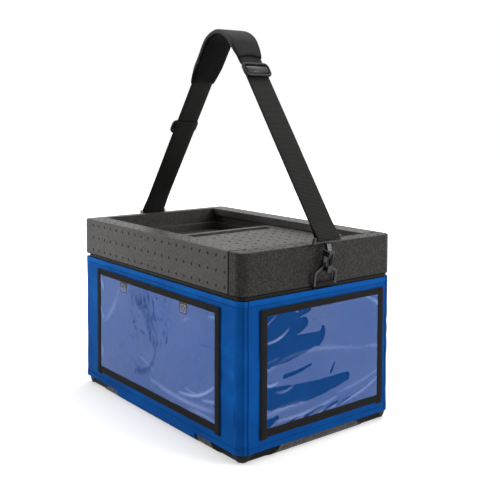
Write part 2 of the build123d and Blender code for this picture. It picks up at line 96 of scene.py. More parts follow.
def newObject(name, mesh):
    piece = bpy.data.objects.new(name, mesh)
    bpy.context.scene.collection.objects.link(piece)
    return piece


def mend(mesh, gap=1e-6, flatten=False, outward=True):
    # merge the doubles and turn every face outwards
    work = bmesh.new()
    work.from_mesh(mesh)
    if gap:
        bmesh.ops.remove_doubles(work, verts=work.verts, dist=gap)
    if flatten:
        bmesh.ops.dissolve_limit(work, angle_limit=radians(0.8), verts=work.verts, edges=work.edges)
    if outward:
        bmesh.ops.recalc_face_normals(work, faces=work.faces)
    work.to_mesh(mesh)
    work.free()
    mesh.update()


def smooth(mesh, angle=40):
    mesh.shade_smooth()
    mesh.set_sharp_from_angle(angle=radians(angle))


def addFlatMap(mesh, coordinates):
    # coordinates per vertex, in metres
    layer = mesh.uv_layers.new(name="flat")
    loops = np.zeros(len(mesh.loops), np.int32)
    mesh.loops.foreach_get("vertex_index", loops)
    layer.data.foreach_set("uv", np.asarray(coordinates, np.float32)[loops].ravel())


def addValues(mesh, **fields):
    for label, values in fields.items():
        mesh.attributes.new(label, "FLOAT", "POINT").data.foreach_set("value", np.array(values, np.float32))


def addModifier(piece, kind, **settings):
    modifier = piece.modifiers.new(kind.lower(), kind)
    for key, value in settings.items():
        setattr(modifier, key, value)
    return modifier


def bake(piece):
    # the evaluated shape becomes the plain mesh and the modifiers go
    bpy.context.view_layer.update()
    graph = bpy.context.evaluated_depsgraph_get()
    mesh = bpy.data.meshes.new_from_object(piece.evaluated_get(graph), depsgraph=graph)
    piece.modifiers.clear()
    piece.data = mesh
    return piece


def grow(piece, tree, values):
    # runs a geometry node tree with its named inputs set, and keeps the result
    grown = addModifier(piece, "NODES", node_group=tree)
    for item in tree.interface.items_tree:
        if item.in_out == "INPUT" and item.name in values:
            grown[item.identifier] = values[item.name]
    return bake(piece)


def finishPiece(piece, body, slot, replaced=(), material=None):
    if material is not None:
        piece.data.materials.clear()
        piece.data.materials.append(material)
    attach(piece, body)
    if replaced:
        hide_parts(*replaced)
    return piece


def mergedCopy(node, name, flatten=False):
    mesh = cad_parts[node].data.copy()
    mesh.name = name
    if mesh.has_custom_normals:
        mesh.normals_split_custom_set_from_vertices([(0, 0, 0)] * len(mesh.vertices))
    mend(mesh, 2e-6, flatten)
    return mesh


def evenShade(piece, angle=40):
    # big flat faces keep their own shading beside rounded edges
    smooth(piece.data, angle)
    addModifier(piece, "WEIGHTED_NORMAL", keep_sharp=True)
    return bake(piece)


def softenedCopy(node, name, width):
    # a merged copy of a CAD solid with its sharp edges rounded, kept inside the solid's box
    piece = newObject(name, mergedCopy(node, name, True))
    addModifier(piece, "BEVEL", width=width, segments=2, limit_method="ANGLE", angle_limit=radians(32),
                use_clamp_overlap=False)
    bake(piece)
    low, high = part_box(node)
    for vertex in piece.data.vertices:
        vertex.co = [min(max(c, a), b) for c, a, b in zip(vertex.co, low, high)]
    mend(piece.data, 2e-6)
    return evenShade(piece)


def castCopy(node, name, grain, rounds, reshape=None):
    # a copy of a CAD solid with every edge rounded off, as a casting has
    mesh = mergedCopy(node, name)
    if reshape is not None:
        for vertex in mesh.vertices:
            vertex.co = reshape(vertex.co)
    piece = newObject(name, mesh)
    addModifier(piece, "REMESH", mode="VOXEL", voxel_size=grain)
    addModifier(piece, "SMOOTH", factor=0.5, iterations=rounds)
    bake(piece).data.shade_smooth()
    return piece


# nodes

def plug(tree, node, links):
    # each input gets a value, a socket or another node's first output
    for key, value in links.items():
        if isinstance(value, bpy.types.Node):
            value = value.outputs[0]
        if isinstance(value, bpy.types.NodeSocket):
            tree.links.new(value, node.inputs[key])
        else:
            node.inputs[key].default_value = value
    return node


def addNode(tree, kind, links, **settings):
    node = tree.nodes.new(kind)
    for key, value in settings.items():
        setattr(node, key, value)
    return plug(tree, node, links)


def mathNode(tree, operation, a, b=0.0):
    return addNode(tree, "ShaderNodeMath", {0: a, 1: b}, operation=operation).outputs[0]


def weighted(tree, *parts, extra=0.0):
    # the sum of (value, weight) pairs and a fixed number
    total = None
    for value, weight in parts:
        share = value if weight == 1 else mathNode(tree, "MULTIPLY", value, weight)
        total = share if total is None else mathNode(tree, "ADD", total, share)
    return mathNode(tree, "ADD", total, extra) if extra else total


def rescale(tree, value, fromLow, fromHigh, toLow=0.0, toHigh=1.0):
    return addNode(tree, "ShaderNodeMapRange", {"Value": value, "From Min": fromLow, "From Max": fromHigh,
                                                "To Min": toLow, "To Max": toHigh}).outputs["Result"]


def shades(tree, factor, *stops):
    # a colour ramp from (place, colour) stops
    ramp = addNode(tree, "ShaderNodeValToRGB", {"Fac": factor})
    while len(ramp.color_ramp.elements) < len(stops):
        ramp.color_ramp.elements.new(0.5)
    for element, (place, colour) in zip(ramp.color_ramp.elements, stops):
        element.position = place
        element.color = (*colour, 1)
    return ramp.outputs["Color"]


def overlay(tree, share, under, colour):
    return addNode(tree, "ShaderNodeMix", {0: share, 6: under, 7: (*colour, 1)}, data_type="RGBA").outputs[2]


def noiseNode(tree, place, scale, detail, **more):
    return addNode(tree, "ShaderNodeTexNoise", {"Vector": place, "Scale": scale, "Detail": detail,
                                                **more}).outputs["Fac"]


def ribNode(tree, place, pitch, direction, distortion, detailScale=1.0):
    # ribs that follow each other at the pitch, in metres
    inputs = {"Vector": place, "Scale": 0.314 / pitch, "Distortion": distortion, "Detail Scale": detailScale}
    return addNode(tree, "ShaderNodeTexWave", inputs, bands_direction=direction).outputs["Fac"]


def objectPlace(tree, output="Object"):
    return addNode(tree, "ShaderNodeTexCoord", {}).outputs[output]


def flatPlace(tree):
    return addNode(tree, "ShaderNodeUVMap", {}, uv_map="flat").outputs["UV"]


def attribute(tree, name):
    return addNode(tree, "ShaderNodeAttribute", {}, attribute_name=name).outputs["Fac"]


def split(tree, vector):
    return addNode(tree, "ShaderNodeSeparateXYZ", {"Vector": vector}).outputs


# materials

def newMaterial(name, colour, roughness, specular=0.5, **sockets):
    material = bpy.data.materials.new(name)
    material.use_nodes = True
    tree = material.node_tree
    links = {"Base Color": (*colour, 1), "Roughness": roughness, "Specular IOR Level": specular}
    links.update((key.replace("_", " "), value) for key, value in sockets.items())
    return material, tree, plug(tree, tree.nodes["Principled BSDF"], links)


def tinted(tone, colour):
    return tuple(tone * c for c in colour)


def addBump(tree, shader, height, distance, strength=1.0):
    bump = addNode(tree, "ShaderNodeBump", {"Height": height, "Distance": distance, "Strength": strength})
    plug(tree, shader, {"Normal": bump})


foamFinish = {
    "bead": 0.0040,
    "dark": (0.0155, 0.0139, 0.0132),
    "middle": (0.030, 0.0270, 0.0256),
    "pale": (0.070, 0.0640, 0.0610),
    # the next two are colours of painted shade in the shallow and the deep vent recesses
    "pit": (0.0240, 0.0218, 0.0207),
    "deepVentShade": (0.0080, 0.0074, 0.0071),
    # worn is the colour of painted shade: in the lid's joint, under its lower edge and on the body's rim under
    # the lid; it also darkens the body's bottom corners
    "worn": (0.0035, 0.0034, 0.0036),
    "crack": (0.0017, 0.0034),     # how far from the joint its shade starts and ends to fade
    "gloss": (0.27, 0.47),         # lowest and highest roughness
    "topGlint": 2.2,               # how much more the faces that look up glint
    "rimSpecular": 0.10,
}


def darkCornersAndRimShade(tree, place):
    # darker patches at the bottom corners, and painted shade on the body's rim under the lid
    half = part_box("body")[1]
    spread = split(tree, addNode(tree, "ShaderNodeVectorMath", {0: place}, operation="ABSOLUTE"))
    corner = rescale(tree, mathNode(tree, "ADD", spread["X"], spread["Y"]), 0.440, 0.462)
    low = rescale(tree, spread["Z"], 0.050, 0.030)
    wide = mathNode(tree, "MAXIMUM", mathNode(tree, "DIVIDE", spread["X"], half.x),
                    mathNode(tree, "DIVIDE", spread["Y"], half.y))
    rim = mathNode(tree, "MULTIPLY", rescale(tree, wide, 0.955, 0.965), rescale(tree, spread["Z"], 0.28, 0.29))
    return mathNode(tree, "MAXIMUM", mathNode(tree, "MULTIPLY", corner, low), rim), rim


def foamMaterial(name, tone, relief, specular, glint, contrast=1.0, rubbed=False, joint=None):
    # beads pressed together, with faint seams between them and a fine skin
    f = foamFinish
    low, middle, high = [tinted(tone, f[key]) for key in ("dark", "middle", "pale")]
    material, tree, shader = newMaterial(name, middle, 0.5, specular)
    place = objectPlace(tree)
    beads = {"Vector": place, "Scale": 1 / f["bead"]}
    edges = addNode(tree, "ShaderNodeTexVoronoi", beads, feature="DISTANCE_TO_EDGE").outputs["Distance"]
    cells = addNode(tree, "ShaderNodeTexVoronoi", beads).outputs["Color"]
    tones = addNode(tree, "ShaderNodeSeparateColor", {"Color": cells}).outputs
    grain = noiseNode(tree, place, 620.0, 3.0)
    cloud = noiseNode(tree, place, 9.0, 2.0)
    speck = noiseNode(tree, place, 330.0, 2.0, Roughness=0.7)
    mixed = weighted(tree, (tones["Red"], 0.42 * contrast), (grain, 0.30 * contrast), (cloud, 0.30),
                     extra=0.36 * (1 - contrast))
    seam = weighted(tree, (rescale(tree, edges, 0.0, 0.12), 0.3), extra=0.7)
    # painted glints: light specks added to the colour, stronger on the faces that look up
    skyward = rescale(tree, split(tree, objectPlace(tree, "Normal"))["Z"], 0.6, 0.95)
    speck = mathNode(tree, "MULTIPLY", rescale(tree, speck, 0.50, 0.72, 0.0, glint),
                     weighted(tree, (skyward, f["topGlint"]), extra=1.0))
    mixed = weighted(tree, (mathNode(tree, "MULTIPLY", mixed, seam), 1), (speck, 1))
    colour = shades(tree, mixed, (0.20, low), (0.46, middle), (0.85, high))
    rough = weighted(tree, (tones["Green"], 0.6), (grain, 0.4))
    plug(tree, shader, {"Roughness": rescale(tree, rough, 0.1, 0.85, *f["gloss"])})
    # painted shade in the joint between the frame and the end block
    if joint is not None:
        gap = mathNode(tree, "ABSOLUTE", mathNode(tree, "SUBTRACT", split(tree, place)["X"], joint))
        colour = overlay(tree, rescale(tree, gap, *f["crack"], 1.0, 0.0), colour, f["worn"])
    # darker bottom corners, and painted shade on the body's rim under the lid, where the specular is also lower
    if rubbed:
        dark, rim = darkCornersAndRimShade(tree, place)
        colour = overlay(tree, dark, colour, f["worn"])
        plug(tree, shader, {"Specular IOR Level": rescale(tree, rim, 0.0, 1.0, specular, f["rimSpecular"])})
    plug(tree, shader, {"Base Color": colour})
    height = weighted(tree, (rescale(tree, edges, 0.0, 0.5), relief), (grain, 0.8))
    addBump(tree, shader, height, 0.0010, 0.35 + 0.55 * contrast)
    return material


# painted shade in the vent recesses: a darker foam colour, paler in places with its grain
def pitShadeMaterial(name, tone):
    material, tree, shader = newMaterial(name, tone, 0.8, 0.06)
    grain = noiseNode(tree, objectPlace(tree), 700.0, 3.0)
    plug(tree, shader, {"Base Color": shades(tree, grain, (0.35, tone), (0.85, tinted(1.6, tone)))})
    addBump(tree, shader, grain, 0.0004)
    return material


clothFinish = {
    "thread": 0.0007,
    "deep": (0.0019, 0.0585, 0.243),
    "blue": (0.0025, 0.0815, 0.330),
    "light": (0.0050, 0.138, 0.510),
    # seam is the colour of painted shade in the seam grooves
    "seam": (0.006, 0.012, 0.060),
}


def clothMaterial():
    # tight coated cloth on its own UV map, which is laid out in metres
    c = clothFinish
    material, tree, shader = newMaterial("blueCloth", c["blue"], 0.6, 0.03)
    place = flatPlace(tree)
    weave = mathNode(tree, "MULTIPLY", *[ribNode(tree, place, c["thread"], way, 0.6, 40.0) for way in "XY"])
    cloud = noiseNode(tree, place, 7.0, 4.0)
    rubbed = noiseNode(tree, place, 60.0, 5.0)
    # lift carries the painted light and shade made with the sleeve
    tone = weighted(tree, (cloud, 0.75), (rubbed, 0.25), (weave, 0.05), (attribute(tree, "lift"), 1))
    colour = shades(tree, tone, (0.34, c["deep"]), (0.54, c["blue"]), (0.80, c["light"]))
    # painted shade along the seams
    plug(tree, shader, {"Base Color": overlay(tree, attribute(tree, "seam"), colour, c["seam"]),
                        "Roughness": rescale(tree, rubbed, 0.3, 0.7, 0.5, 0.72)})
    addBump(tree, shader, weighted(tree, (weave, 1), (rubbed, 3.0)), 0.00012, 0.6)
    return material


webbingFinish = {
    "rib": 0.0030,
    "yarn": 0.0016,
    "tapeRib": 0.0013,
    # places and colours of each ramp
    "strap": ((0.25, (0.0038, 0.0037, 0.0035)), (0.5, (0.0095, 0.0092, 0.0087)), (0.8, (0.026, 0.0252, 0.024))),
    "short": ((0.1, (0.006, 0.006, 0.0055)), (0.6, (0.017, 0.0165, 0.016))),
    "tape": ((0.2, (0.0055, 0.0052, 0.0052)), (0.8, (0.0165, 0.0152, 0.0146))),
}


def webbingMaterial():
    # ribs lie across the webbing and its UV map runs along it, in metres
    material, tree, shader = newMaterial("blackWebbing", (0.014, 0.0136, 0.0127), 0.55, 0.06)
    place = flatPlace(tree)
    ribs = ribNode(tree, place, webbingFinish["rib"], "Y", 0.3, 30.0)
    yarns = ribNode(tree, place, webbingFinish["yarn"], "X", 0.8, 30.0)
    fuzz = noiseNode(tree, place, 420.0, 4.0)
    tone = weighted(tree, (ribs, 0.5), (fuzz, 0.5))
    plug(tree, shader, {"Base Color": shades(tree, tone, *webbingFinish["strap"])})
    addBump(tree, shader, weighted(tree, (yarns, 0.5), (fuzz, 1)), 0.0003, 0.7)
    return material


def shortWebbingMaterial():
    # plain dark webbing for the short pieces that hold rings and corners
    material, tree, shader = newMaterial("shortWebbing", (0.010, 0.0095, 0.009), 0.55, 0.06)
    place = objectPlace(tree)
    ribs = ribNode(tree, place, webbingFinish["rib"], "DIAGONAL", 0.4)
    fuzz = noiseNode(tree, place, 500.0, 4.0)
    tone = mathNode(tree, "MULTIPLY", ribs, fuzz)
    plug(tree, shader, {"Base Color": shades(tree, tone, *webbingFinish["short"])})
    addBump(tree, shader, weighted(tree, (ribs, 1), (fuzz, 1)), 0.0003, 0.8)
    return material


def tapeMaterial():
    material, tree, shader = newMaterial("bindingTape", (0.012, 0.0112, 0.0110), 0.65, 0.05)
    place = flatPlace(tree)
    ribs = ribNode(tree, place, webbingFinish["tapeRib"], "Y", 0.4)
    tone = weighted(tree, (ribs, 0.4), (noiseNode(tree, place, 260.0, 4.0), 0.6))
    plug(tree, shader, {"Base Color": shades(tree, tone, *webbingFinish["tape"])})
    addBump(tree, shader, tone, 0.00025, 0.8)
    return material


padShades = ((0.011, 0.0106, 0.0108), (0.0155, 0.0149, 0.0152), (0.021, 0.0202, 0.0206))


def padMaterial(name, tone, specular):
    low, middle, high = [tinted(tone, shade) for shade in padShades]
    material, tree, shader = newMaterial(name, middle, 0.6, specular)
    place = objectPlace(tree)
    knit = addNode(tree, "ShaderNodeTexVoronoi", {"Vector": place, "Scale": 900.0}).outputs["Distance"]
    cloud = noiseNode(tree, place, 55.0, 5.0)
    plug(tree, shader, {"Base Color": shades(
        tree, weighted(tree, (cloud, 0.8), (knit, 0.3)), (0.35, low), (0.75, high))})
    addBump(tree, shader, weighted(tree, (knit, 1), (cloud, 1)), 0.0003, 0.7)
    return material


def plasticMaterial(name, colour, roughness, specular=0.5, grainSize=0.0012, metallic=0.0):
    # moulded or coated surface with a fine grain and faint rubbed patches
    material, tree, shader = newMaterial(name, colour, roughness, specular, Metallic=metallic)
    place = objectPlace(tree)
    grain = noiseNode(tree, place, 1 / grainSize, 2.0)
    worn = noiseNode(tree, place, 45.0, 5.0)
    lighter = tuple(min(1, 1.25 * c + 0.004) for c in colour)
    plug(tree, shader, {"Base Color": shades(tree, worn, (0.35, tinted(0.8, colour)), (0.7, lighter)),
                        "Roughness": rescale(tree, worn, 0.3, 0.7, roughness - 0.07, roughness + 0.1)})
    addBump(tree, shader, grain, 0.00008, 0.5)
    return material


filmFinish = {
    # the first two colours are the film's milkiness together with a painted reflection of the white
    # surroundings
    "hazeAndReflection": (0.132, 0.205, 0.480),
    "cool": (0.086, 0.170, 0.450),
    # the colour of the creases: partly the film's own crease whitening, partly painted highlights
    "streak": (0.36, 0.46, 0.80),
    "hazeAndReflectionLevel": 0.49,
    "clear": 0.15,
    # painted shade: the cloth seen through the clear patches, darker than the cloth itself
    "through": (0.0024, 0.072, 0.290),     # the cloth seen through the clear patches
    "gloss": 0.14,
}


def filmMaterial(name, edge, wispScale, tone, deep):
    # clear film: a soft white haze that is partly milkiness and partly painted reflection, with clear patches,
    # and whiter creases that are partly painted highlights
    f = filmFinish
    material, tree, shader = newMaterial(name, f["hazeAndReflection"], f["gloss"], 0.12)
    flat = flatPlace(tree)
    wisp = noiseNode(tree, flat, wispScale, 5.0, Roughness=0.6, Distortion=1.2)
    wide = noiseNode(tree, flat, 8.0, 3.0)
    crease = attribute(tree, "crease")
    patch = weighted(tree, (attribute(tree, "clear"), 1), (wisp, 0.75))
    patch = rescale(tree, patch, 0.84, 0.84 + edge)
    hazeAndReflection = weighted(tree, (rescale(tree, wide, 0.3, 0.7, f["hazeAndReflectionLevel"] - 0.05, f["hazeAndReflectionLevel"] + 0.06), 1),
                    (rescale(tree, wisp, 0.3, 0.7, -0.03, 0.03), 1))
    mixed = addNode(tree, "ShaderNodeMix", {0: patch, 2: hazeAndReflection, 3: f["clear"]})
    alpha = weighted(tree, (mixed.outputs[0], 1), (crease, 0.5))
    colour = shades(tree, wide, (0.35, tinted(tone, f["hazeAndReflection"])), (0.65, tinted(tone, f["cool"])))
    # the clear patches show the cloth in painted shade
    colour = overlay(tree, patch, colour, tinted(deep, f["through"]))
    plug(tree, shader, {"Alpha": mathNode(tree, "MINIMUM", alpha, 0.92),
                        "Base Color": overlay(tree, crease, colour, f["streak"])})
    addBump(tree, shader, wisp, 0.0004, 0.3)
    return material


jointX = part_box("lid_frame")[1].x
foam = foamMaterial("beadFoam", 0.90, 0.42, 0.21, 0.08, 0.5, joint=jointX)
coverFoam = foamMaterial("coverFoam", 0.95, 0.6, 0.24, 0.16)
# the body's foam, with darker bottom corners and painted shade on its rim under the lid
footFoam = foamMaterial("footFoam", 1.6, 0.5, 0.16, 0.20, rubbed=True)
rawFoam = foamMaterial("rawFoam", 0.52, 1.1, 0.10, 0.50, joint=jointX)
ventShade = pitShadeMaterial("ventPit", foamFinish["pit"])
deepVentShade = pitShadeMaterial("deepVentShade", foamFinish["deepVentShade"])
cloth = clothMaterial()
webbing = webbingMaterial()
shortWebbing = shortWebbingMaterial()
tape = tapeMaterial()
padCloth = padMaterial("padCloth", 0.76, 0.06)
padEdge = padMaterial("padEdge", 2.0, 0.12)
# the pad's underside: a darker lining, made darker still as painted shade
shadedPadLining = padMaterial("shadedPadLining", 0.22, 0.04)
# tone sets how bright the painted reflection in each film's haze is, and deep how dark the cloth seen through
# its clear patches is painted
filmLong = filmMaterial("filmLong", 0.34, 85.0, 1.21, 0.75)
filmEnd = filmMaterial("filmEnd", 0.05, 58.0, 0.92, 0.66)
plain = {name: plasticMaterial(name, *look) for name, look in {
    # colour, roughness, specular, grain and whether it is metal
    # crackShade is painted shade for the lid's joint and its lower edge
    "crackShade": (foamFinish["worn"], 0.9, 0.05),
    "blackMetal": ((0.0095, 0.0095, 0.010), 0.24, 0.34),
    # gate: black metal, made darker still as painted shade beside the shank
    "latchMetalInShade": ((0.0022, 0.0022, 0.0024), 0.45, 0.04),
    "plainSteel": ((0.07, 0.07, 0.072), 0.45, 0.3, 0.0012, 1.0),
    "adjusterPlastic": ((0.0065, 0.0065, 0.007), 0.36, 0.13),
    "rollWebbing": ((0.010, 0.0098, 0.0098), 0.40, 0.26, 0.0016),
    "packPlastic": ((0.62, 0.72, 0.80), 0.32, 0.5, 0.004),
    "capPlastic": ((0.02, 0.08, 0.30), 0.35, 0.5),
    "tabCloth": ((0.105, 0.105, 0.098), 0.85, 0.10, 0.0016),
    "blackThread": ((0.008, 0.008, 0.008), 0.7, 0.15),
    "blueThread": ((0.002, 0.034, 0.145), 0.7, 0.05),
    "darkThread": ((0.003, 0.010, 0.045), 0.7, 0.1),
    "whiteThread": ((0.42, 0.42, 0.39), 0.7, 0.15),
}.items()}
print("materials made")


# camera, floor and light

viewpoint = {
    "place": (1.4482, -1.0917, 0.6543),
    "yaw": 2.47068,
    "pitch": 0.05176,
    "roll": 0.003757,
    "lens": 58.94,
    "shift": -0.2,
}


def makeCamera():
    v = viewpoint
    yaw, pitch, roll = v["yaw"], v["pitch"], v["roll"]
    forward = Vector((cos(yaw) * cos(pitch), sin(yaw) * cos(pitch), -sin(pitch)))
    right = Vector((sin(yaw), -cos(yaw), 0))
    above = right.cross(forward)
    axes = Matrix((cos(roll) * right + sin(roll) * above, cos(roll) * above - sin(roll) * right, -forward))
    camera = newObject("camera", bpy.data.cameras.new("camera"))
    camera.matrix_world = Matrix.Translation(v["place"]) @ axes.transposed().to_4x4()
    camera.data.sensor_fit = "HORIZONTAL"
    camera.data.sensor_width = 36
    camera.data.lens = v["lens"]
    camera.data.shift_y = v["shift"]
    bpy.context.scene.camera = camera


studio = {
    "ambient": 0.27,
    "floorGlow": (0.42, 1.0),       # near the box and far from it
    "floorFade": (0.9, 2.4),
    "floorHeight": -0.0003,
    "floorHalf": 8,
    "lamps": (                      # place, target, size and power
        ("overheadLamp", (-0.2, 0.7, 3.0), (0, 0, 0.3), 2.4, 84),
        ("frontLamp", (-2.35, -2.73, 1.7), (0, -0.2, 0.25), 1.7, 73),
        ("endLamp", (3.01, 1.65, 1.7), (0.3, 0, 0.25), 1.7, 90),
    ),
}


def straightRays(tree, *kinds):
    # 1 for rays that meet the surroundings directly or in a mirror or glass
    rays = addNode(tree, "ShaderNodeLightPath", {}).outputs
    seen = rays["Is Camera Ray"]
    for kind in kinds:
        seen = mathNode(tree, "MAXIMUM", seen, rays[f"Is {kind} Ray"])
    return seen


def makeStudio():
    scene = bpy.context.scene
    scene.view_settings.view_transform = "Standard"
    scene.world = bpy.data.worlds.new("studio")
    scene.world.use_nodes = True
    tree = scene.world.node_tree
    tree.nodes.clear()
    soft, white = [addNode(tree, "ShaderNodeBackground", {"Color": (1, 1, 1, 1), "Strength": strength})
                   for strength in (studio["ambient"], 1.0)]
    seen = straightRays(tree, "Glossy", "Transmission")
    addNode(tree, "ShaderNodeOutputWorld", {"Surface": addNode(tree, "ShaderNodeMixShader",
                                                               {0: seen, 1: soft, 2: white})})
    for name, place, target, size, power in studio["lamps"]:
        lamp = newObject(name, bpy.data.lights.new(name, "AREA"))
        lamp.data.energy = power
        lamp.data.size = size
        lamp.location = place
        lamp.rotation_euler = (Vector(target) - Vector(place)).to_track_quat("-Z", "Y").to_euler()

    half, height = studio["floorHalf"], studio["floorHeight"]
    corners = [(x * half, y * half, height) for x, y in ((-1, -1), (1, -1), (1, 1), (-1, 1))]
    floor = newObject("floor", newMesh("floor", corners, [(0, 1, 2, 3)]))
    material, tree, shader = newMaterial("paleFloor", (0.8, 0.8, 0.8), 0.9, 0.1, Emission_Color=(1, 1, 1, 1))
    away = addNode(tree, "ShaderNodeVectorMath", {0: objectPlace(tree)}, operation="LENGTH").outputs["Value"]
    glow = rescale(tree, away, *studio["floorFade"], *studio["floorGlow"])
    plug(tree, shader, {"Emission Strength": mathNode(tree, "MULTIPLY", straightRays(tree, "Glossy"), glow)})
    floor.data.materials.append(material)


makeCamera()
makeStudio()
print("camera and studio made")


# geometry node trees

def newTree(name, *inputs):
    tree = bpy.data.node_groups.new(name, "GeometryNodeTree")
    tree.interface.new_socket("Geometry", in_out="INPUT", socket_type="NodeSocketGeometry")
    for label, kind, value in inputs:
        socket = tree.interface.new_socket(label, in_out="INPUT", socket_type="NodeSocket" + kind)
        if value is not None:
            socket.default_value = value
    tree.interface.new_socket("Geometry", in_out="OUTPUT", socket_type="NodeSocketGeometry")
    return tree, tree.nodes.new("NodeGroupInput").outputs


def closeTree(tree, shape, material):
    real = addNode(tree, "GeometryNodeRealizeInstances", {"Geometry": shape})
    made = addNode(tree, "GeometryNodeSetMaterial", {"Geometry": real, "Material": material})
    addNode(tree, "NodeGroupOutput", {"Geometry": made})
    return tree


def stitchTree():
    # short thread loops, evenly spaced along every line of the mesh that comes in
    tree, given = newTree("stitchRow", ("Pitch", "Float", 0.0045), ("Length", "Float", 0.0033),
                          ("Width", "Float", 0.0008), ("Thread", "Material", None))
    lines = addNode(tree, "GeometryNodeMeshToCurve", {"Mesh": given["Geometry"]})
    spaced = addNode(tree, "GeometryNodeResampleCurve", {"Curve": lines, "Length": given["Pitch"]},
                     mode="LENGTH")
    along = addNode(tree, "GeometryNodeInputTangent", {})
    turn = addNode(tree, "FunctionNodeAlignRotationToVector", {"Vector": along}, axis="Z")
    bead = addNode(tree, "GeometryNodeMeshUVSphere", {"Segments": 6, "Rings": 4, "Radius": 0.5})
    size = addNode(tree, "ShaderNodeCombineXYZ",
                   {"X": given["Width"], "Y": given["Width"], "Z": given["Length"]})
    placed = addNode(tree, "GeometryNodeInstanceOnPoints",
                     {"Points": spaced, "Instance": bead, "Rotation": turn, "Scale": size})
    return closeTree(tree, placed, given["Thread"])


def ventTree():
    # a grid of shallow cones that are cut out of the foam
    tree, given = newTree("ventGrid", ("Width", "Float", 0.5), ("Height", "Float", 0.05),
                          ("Columns", "Int", 10), ("Rows", "Int", 3), ("Mouth", "Float", 0.004),
                          ("Depth", "Float", 0.002), ("Foam", "Material", None))
    grid = addNode(tree, "GeometryNodeMeshGrid", {
        "Size X": given["Width"], "Size Y": given["Height"],
        "Vertices X": given["Columns"], "Vertices Y": given["Rows"]})
    cone = addNode(tree, "GeometryNodeMeshCone", {
        "Vertices": 12, "Radius Top": mathNode(tree, "MULTIPLY", given["Mouth"], 1.35),
        "Radius Bottom": mathNode(tree, "MULTIPLY", given["Mouth"], 0.45),
        "Depth": mathNode(tree, "MULTIPLY", given["Depth"], 2.0)})
    drop = addNode(tree, "ShaderNodeCombineXYZ", {"Z": mathNode(tree, "MULTIPLY", given["Depth"], -1.0)})
    sunk = addNode(tree, "GeometryNodeTransform", {"Geometry": cone, "Translation": drop})
    placed = addNode(tree, "GeometryNodeInstanceOnPoints", {"Points": grid, "Instance": sunk})
    return closeTree(tree, placed, given["Foam"])


def ribTree():
    # raises ribs across a band whose vertices know how far along it they lie
    tree, given = newTree("webbingRibs", ("Pitch", "Float", 0.003), ("Height", "Float", 0.0002),
                          ("Webbing", "Material", None))
    along, flat = [addNode(tree, "GeometryNodeInputNamedAttribute", {"Name": name},
                           data_type="FLOAT").outputs[0] for name in ("along", "face")]
    phase = mathNode(tree, "MULTIPLY", mathNode(tree, "DIVIDE", along, given["Pitch"]), 2 * pi)
    wave = mathNode(tree, "MULTIPLY", mathNode(tree, "SINE", phase), given["Height"])
    outward = addNode(tree, "GeometryNodeInputNormal", {})
    shift = addNode(tree, "ShaderNodeVectorMath", {0: outward, "Scale": mathNode(tree, "MULTIPLY", wave, flat)},
                    operation="SCALE")
    ribbed = addNode(tree, "GeometryNodeSetPosition", {"Geometry": given["Geometry"], "Offset": shift})
    return closeTree(tree, ribbed, given["Webbing"])


stitchRow = stitchTree()
ventGrid = ventTree()
webbingRibs = ribTree()


def sewLines(name, lines, thread, body, slot, pitch=0.0045, length=0.0033, width=0.0008):
    # lines is a list of point lists, each sewn as one row
    points, edges = [], []
    for line in lines:
        first = len(points)
        points += line
        edges += [(first + i, first + i + 1) for i in range(len(line) - 1)]
    piece = newObject(name, newMesh(name, points, [], edges))
    grow(piece, stitchRow, {"Pitch": pitch, "Length": length, "Width": width, "Thread": plain[thread]})
    piece.data.shade_smooth()
    return finishPiece(piece, body, slot)


def crossedBox(corners):
    return [corners + corners[:1], corners[0::2], corners[1::2]]


def ventCutters(name, grids, inside):
    # each grid is (place, turn, width, height, columns, rows, mouth, depth)
    joined = bmesh.new()
    for place, turn, *sizes in grids:
        cutter = newObject(name, bpy.data.meshes.new(name))
        labels = ("Width", "Height", "Columns", "Rows", "Mouth", "Depth", "Foam")
        grow(cutter, ventGrid, dict(zip(labels, (*sizes, inside))))
        cutter.data.transform(Matrix.Translation(place) @ Euler(turn).to_matrix().to_4x4())
        joined.from_mesh(cutter.data)
        bpy.data.objects.remove(cutter)
    mesh = bpy.data.meshes.new(name)
    joined.to_mesh(mesh)
    joined.free()
    mesh.materials.append(inside)
    mend(mesh)
    return newObject(name, mesh)


def cutVents(piece, cutters, material):
    piece.data.materials.clear()
    piece.data.materials.append(material)
    addModifier(piece, "BOOLEAN", operation="DIFFERENCE", solver="EXACT", object=cutters,
                material_mode="TRANSFER")
    bake(piece)
    bpy.data.objects.remove(cutters)
    return evenShade(piece, 30)


# foam lid, end block and cover

lid = {
    "leftRadius": 0.007,
    "cadRadius": 0.020,
    "edge": 0.0011,
    "groove": 0.0018,
    "grooveDepth": 0.0035,
    "shadeHeight": 0.012,          # how high the shaded lower edge reaches
    "sideRows": (0.323, 0.380),    # lowest and highest row of vents on the sides
    "sideStart": -0.260,
    "sidePitch": 0.0269,
    "sideColumns": 20,
    "sideVent": (0.0036, 0.0009),  # mouth and depth
    "rimIn": 0.0225,               # from the side to the middle of the rim's two rows
    "rimGap": 0.020,
    "rimVent": (0.0030, 0.0007),
    "endRun": 0.3497,
    "endColumns": 14,
    "blockGrid": (0.016, 0.34, 2, 13),
    "blockIn": 0.002,
    "blockVent": (0.0032, 0.0008),
    "coverStart": 0.0122,
    "coverAside": 0.0025,
    "coverRows": 10,
    "coverVent": (0.0040, 0.0015),
    "coverPitch": (0.0263, 0.0284),
    "seamReach": (0.0016, 0.0021),  # how near the joint the outer faces before it and all others are shaded
    "seamFace": 0.003,              # a larger face, in square metres, is never shaded
}

frameLow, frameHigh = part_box("lid_frame")
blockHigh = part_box("lid_end_block")[1]
lidTop, sideY = frameHigh.z, frameHigh.y


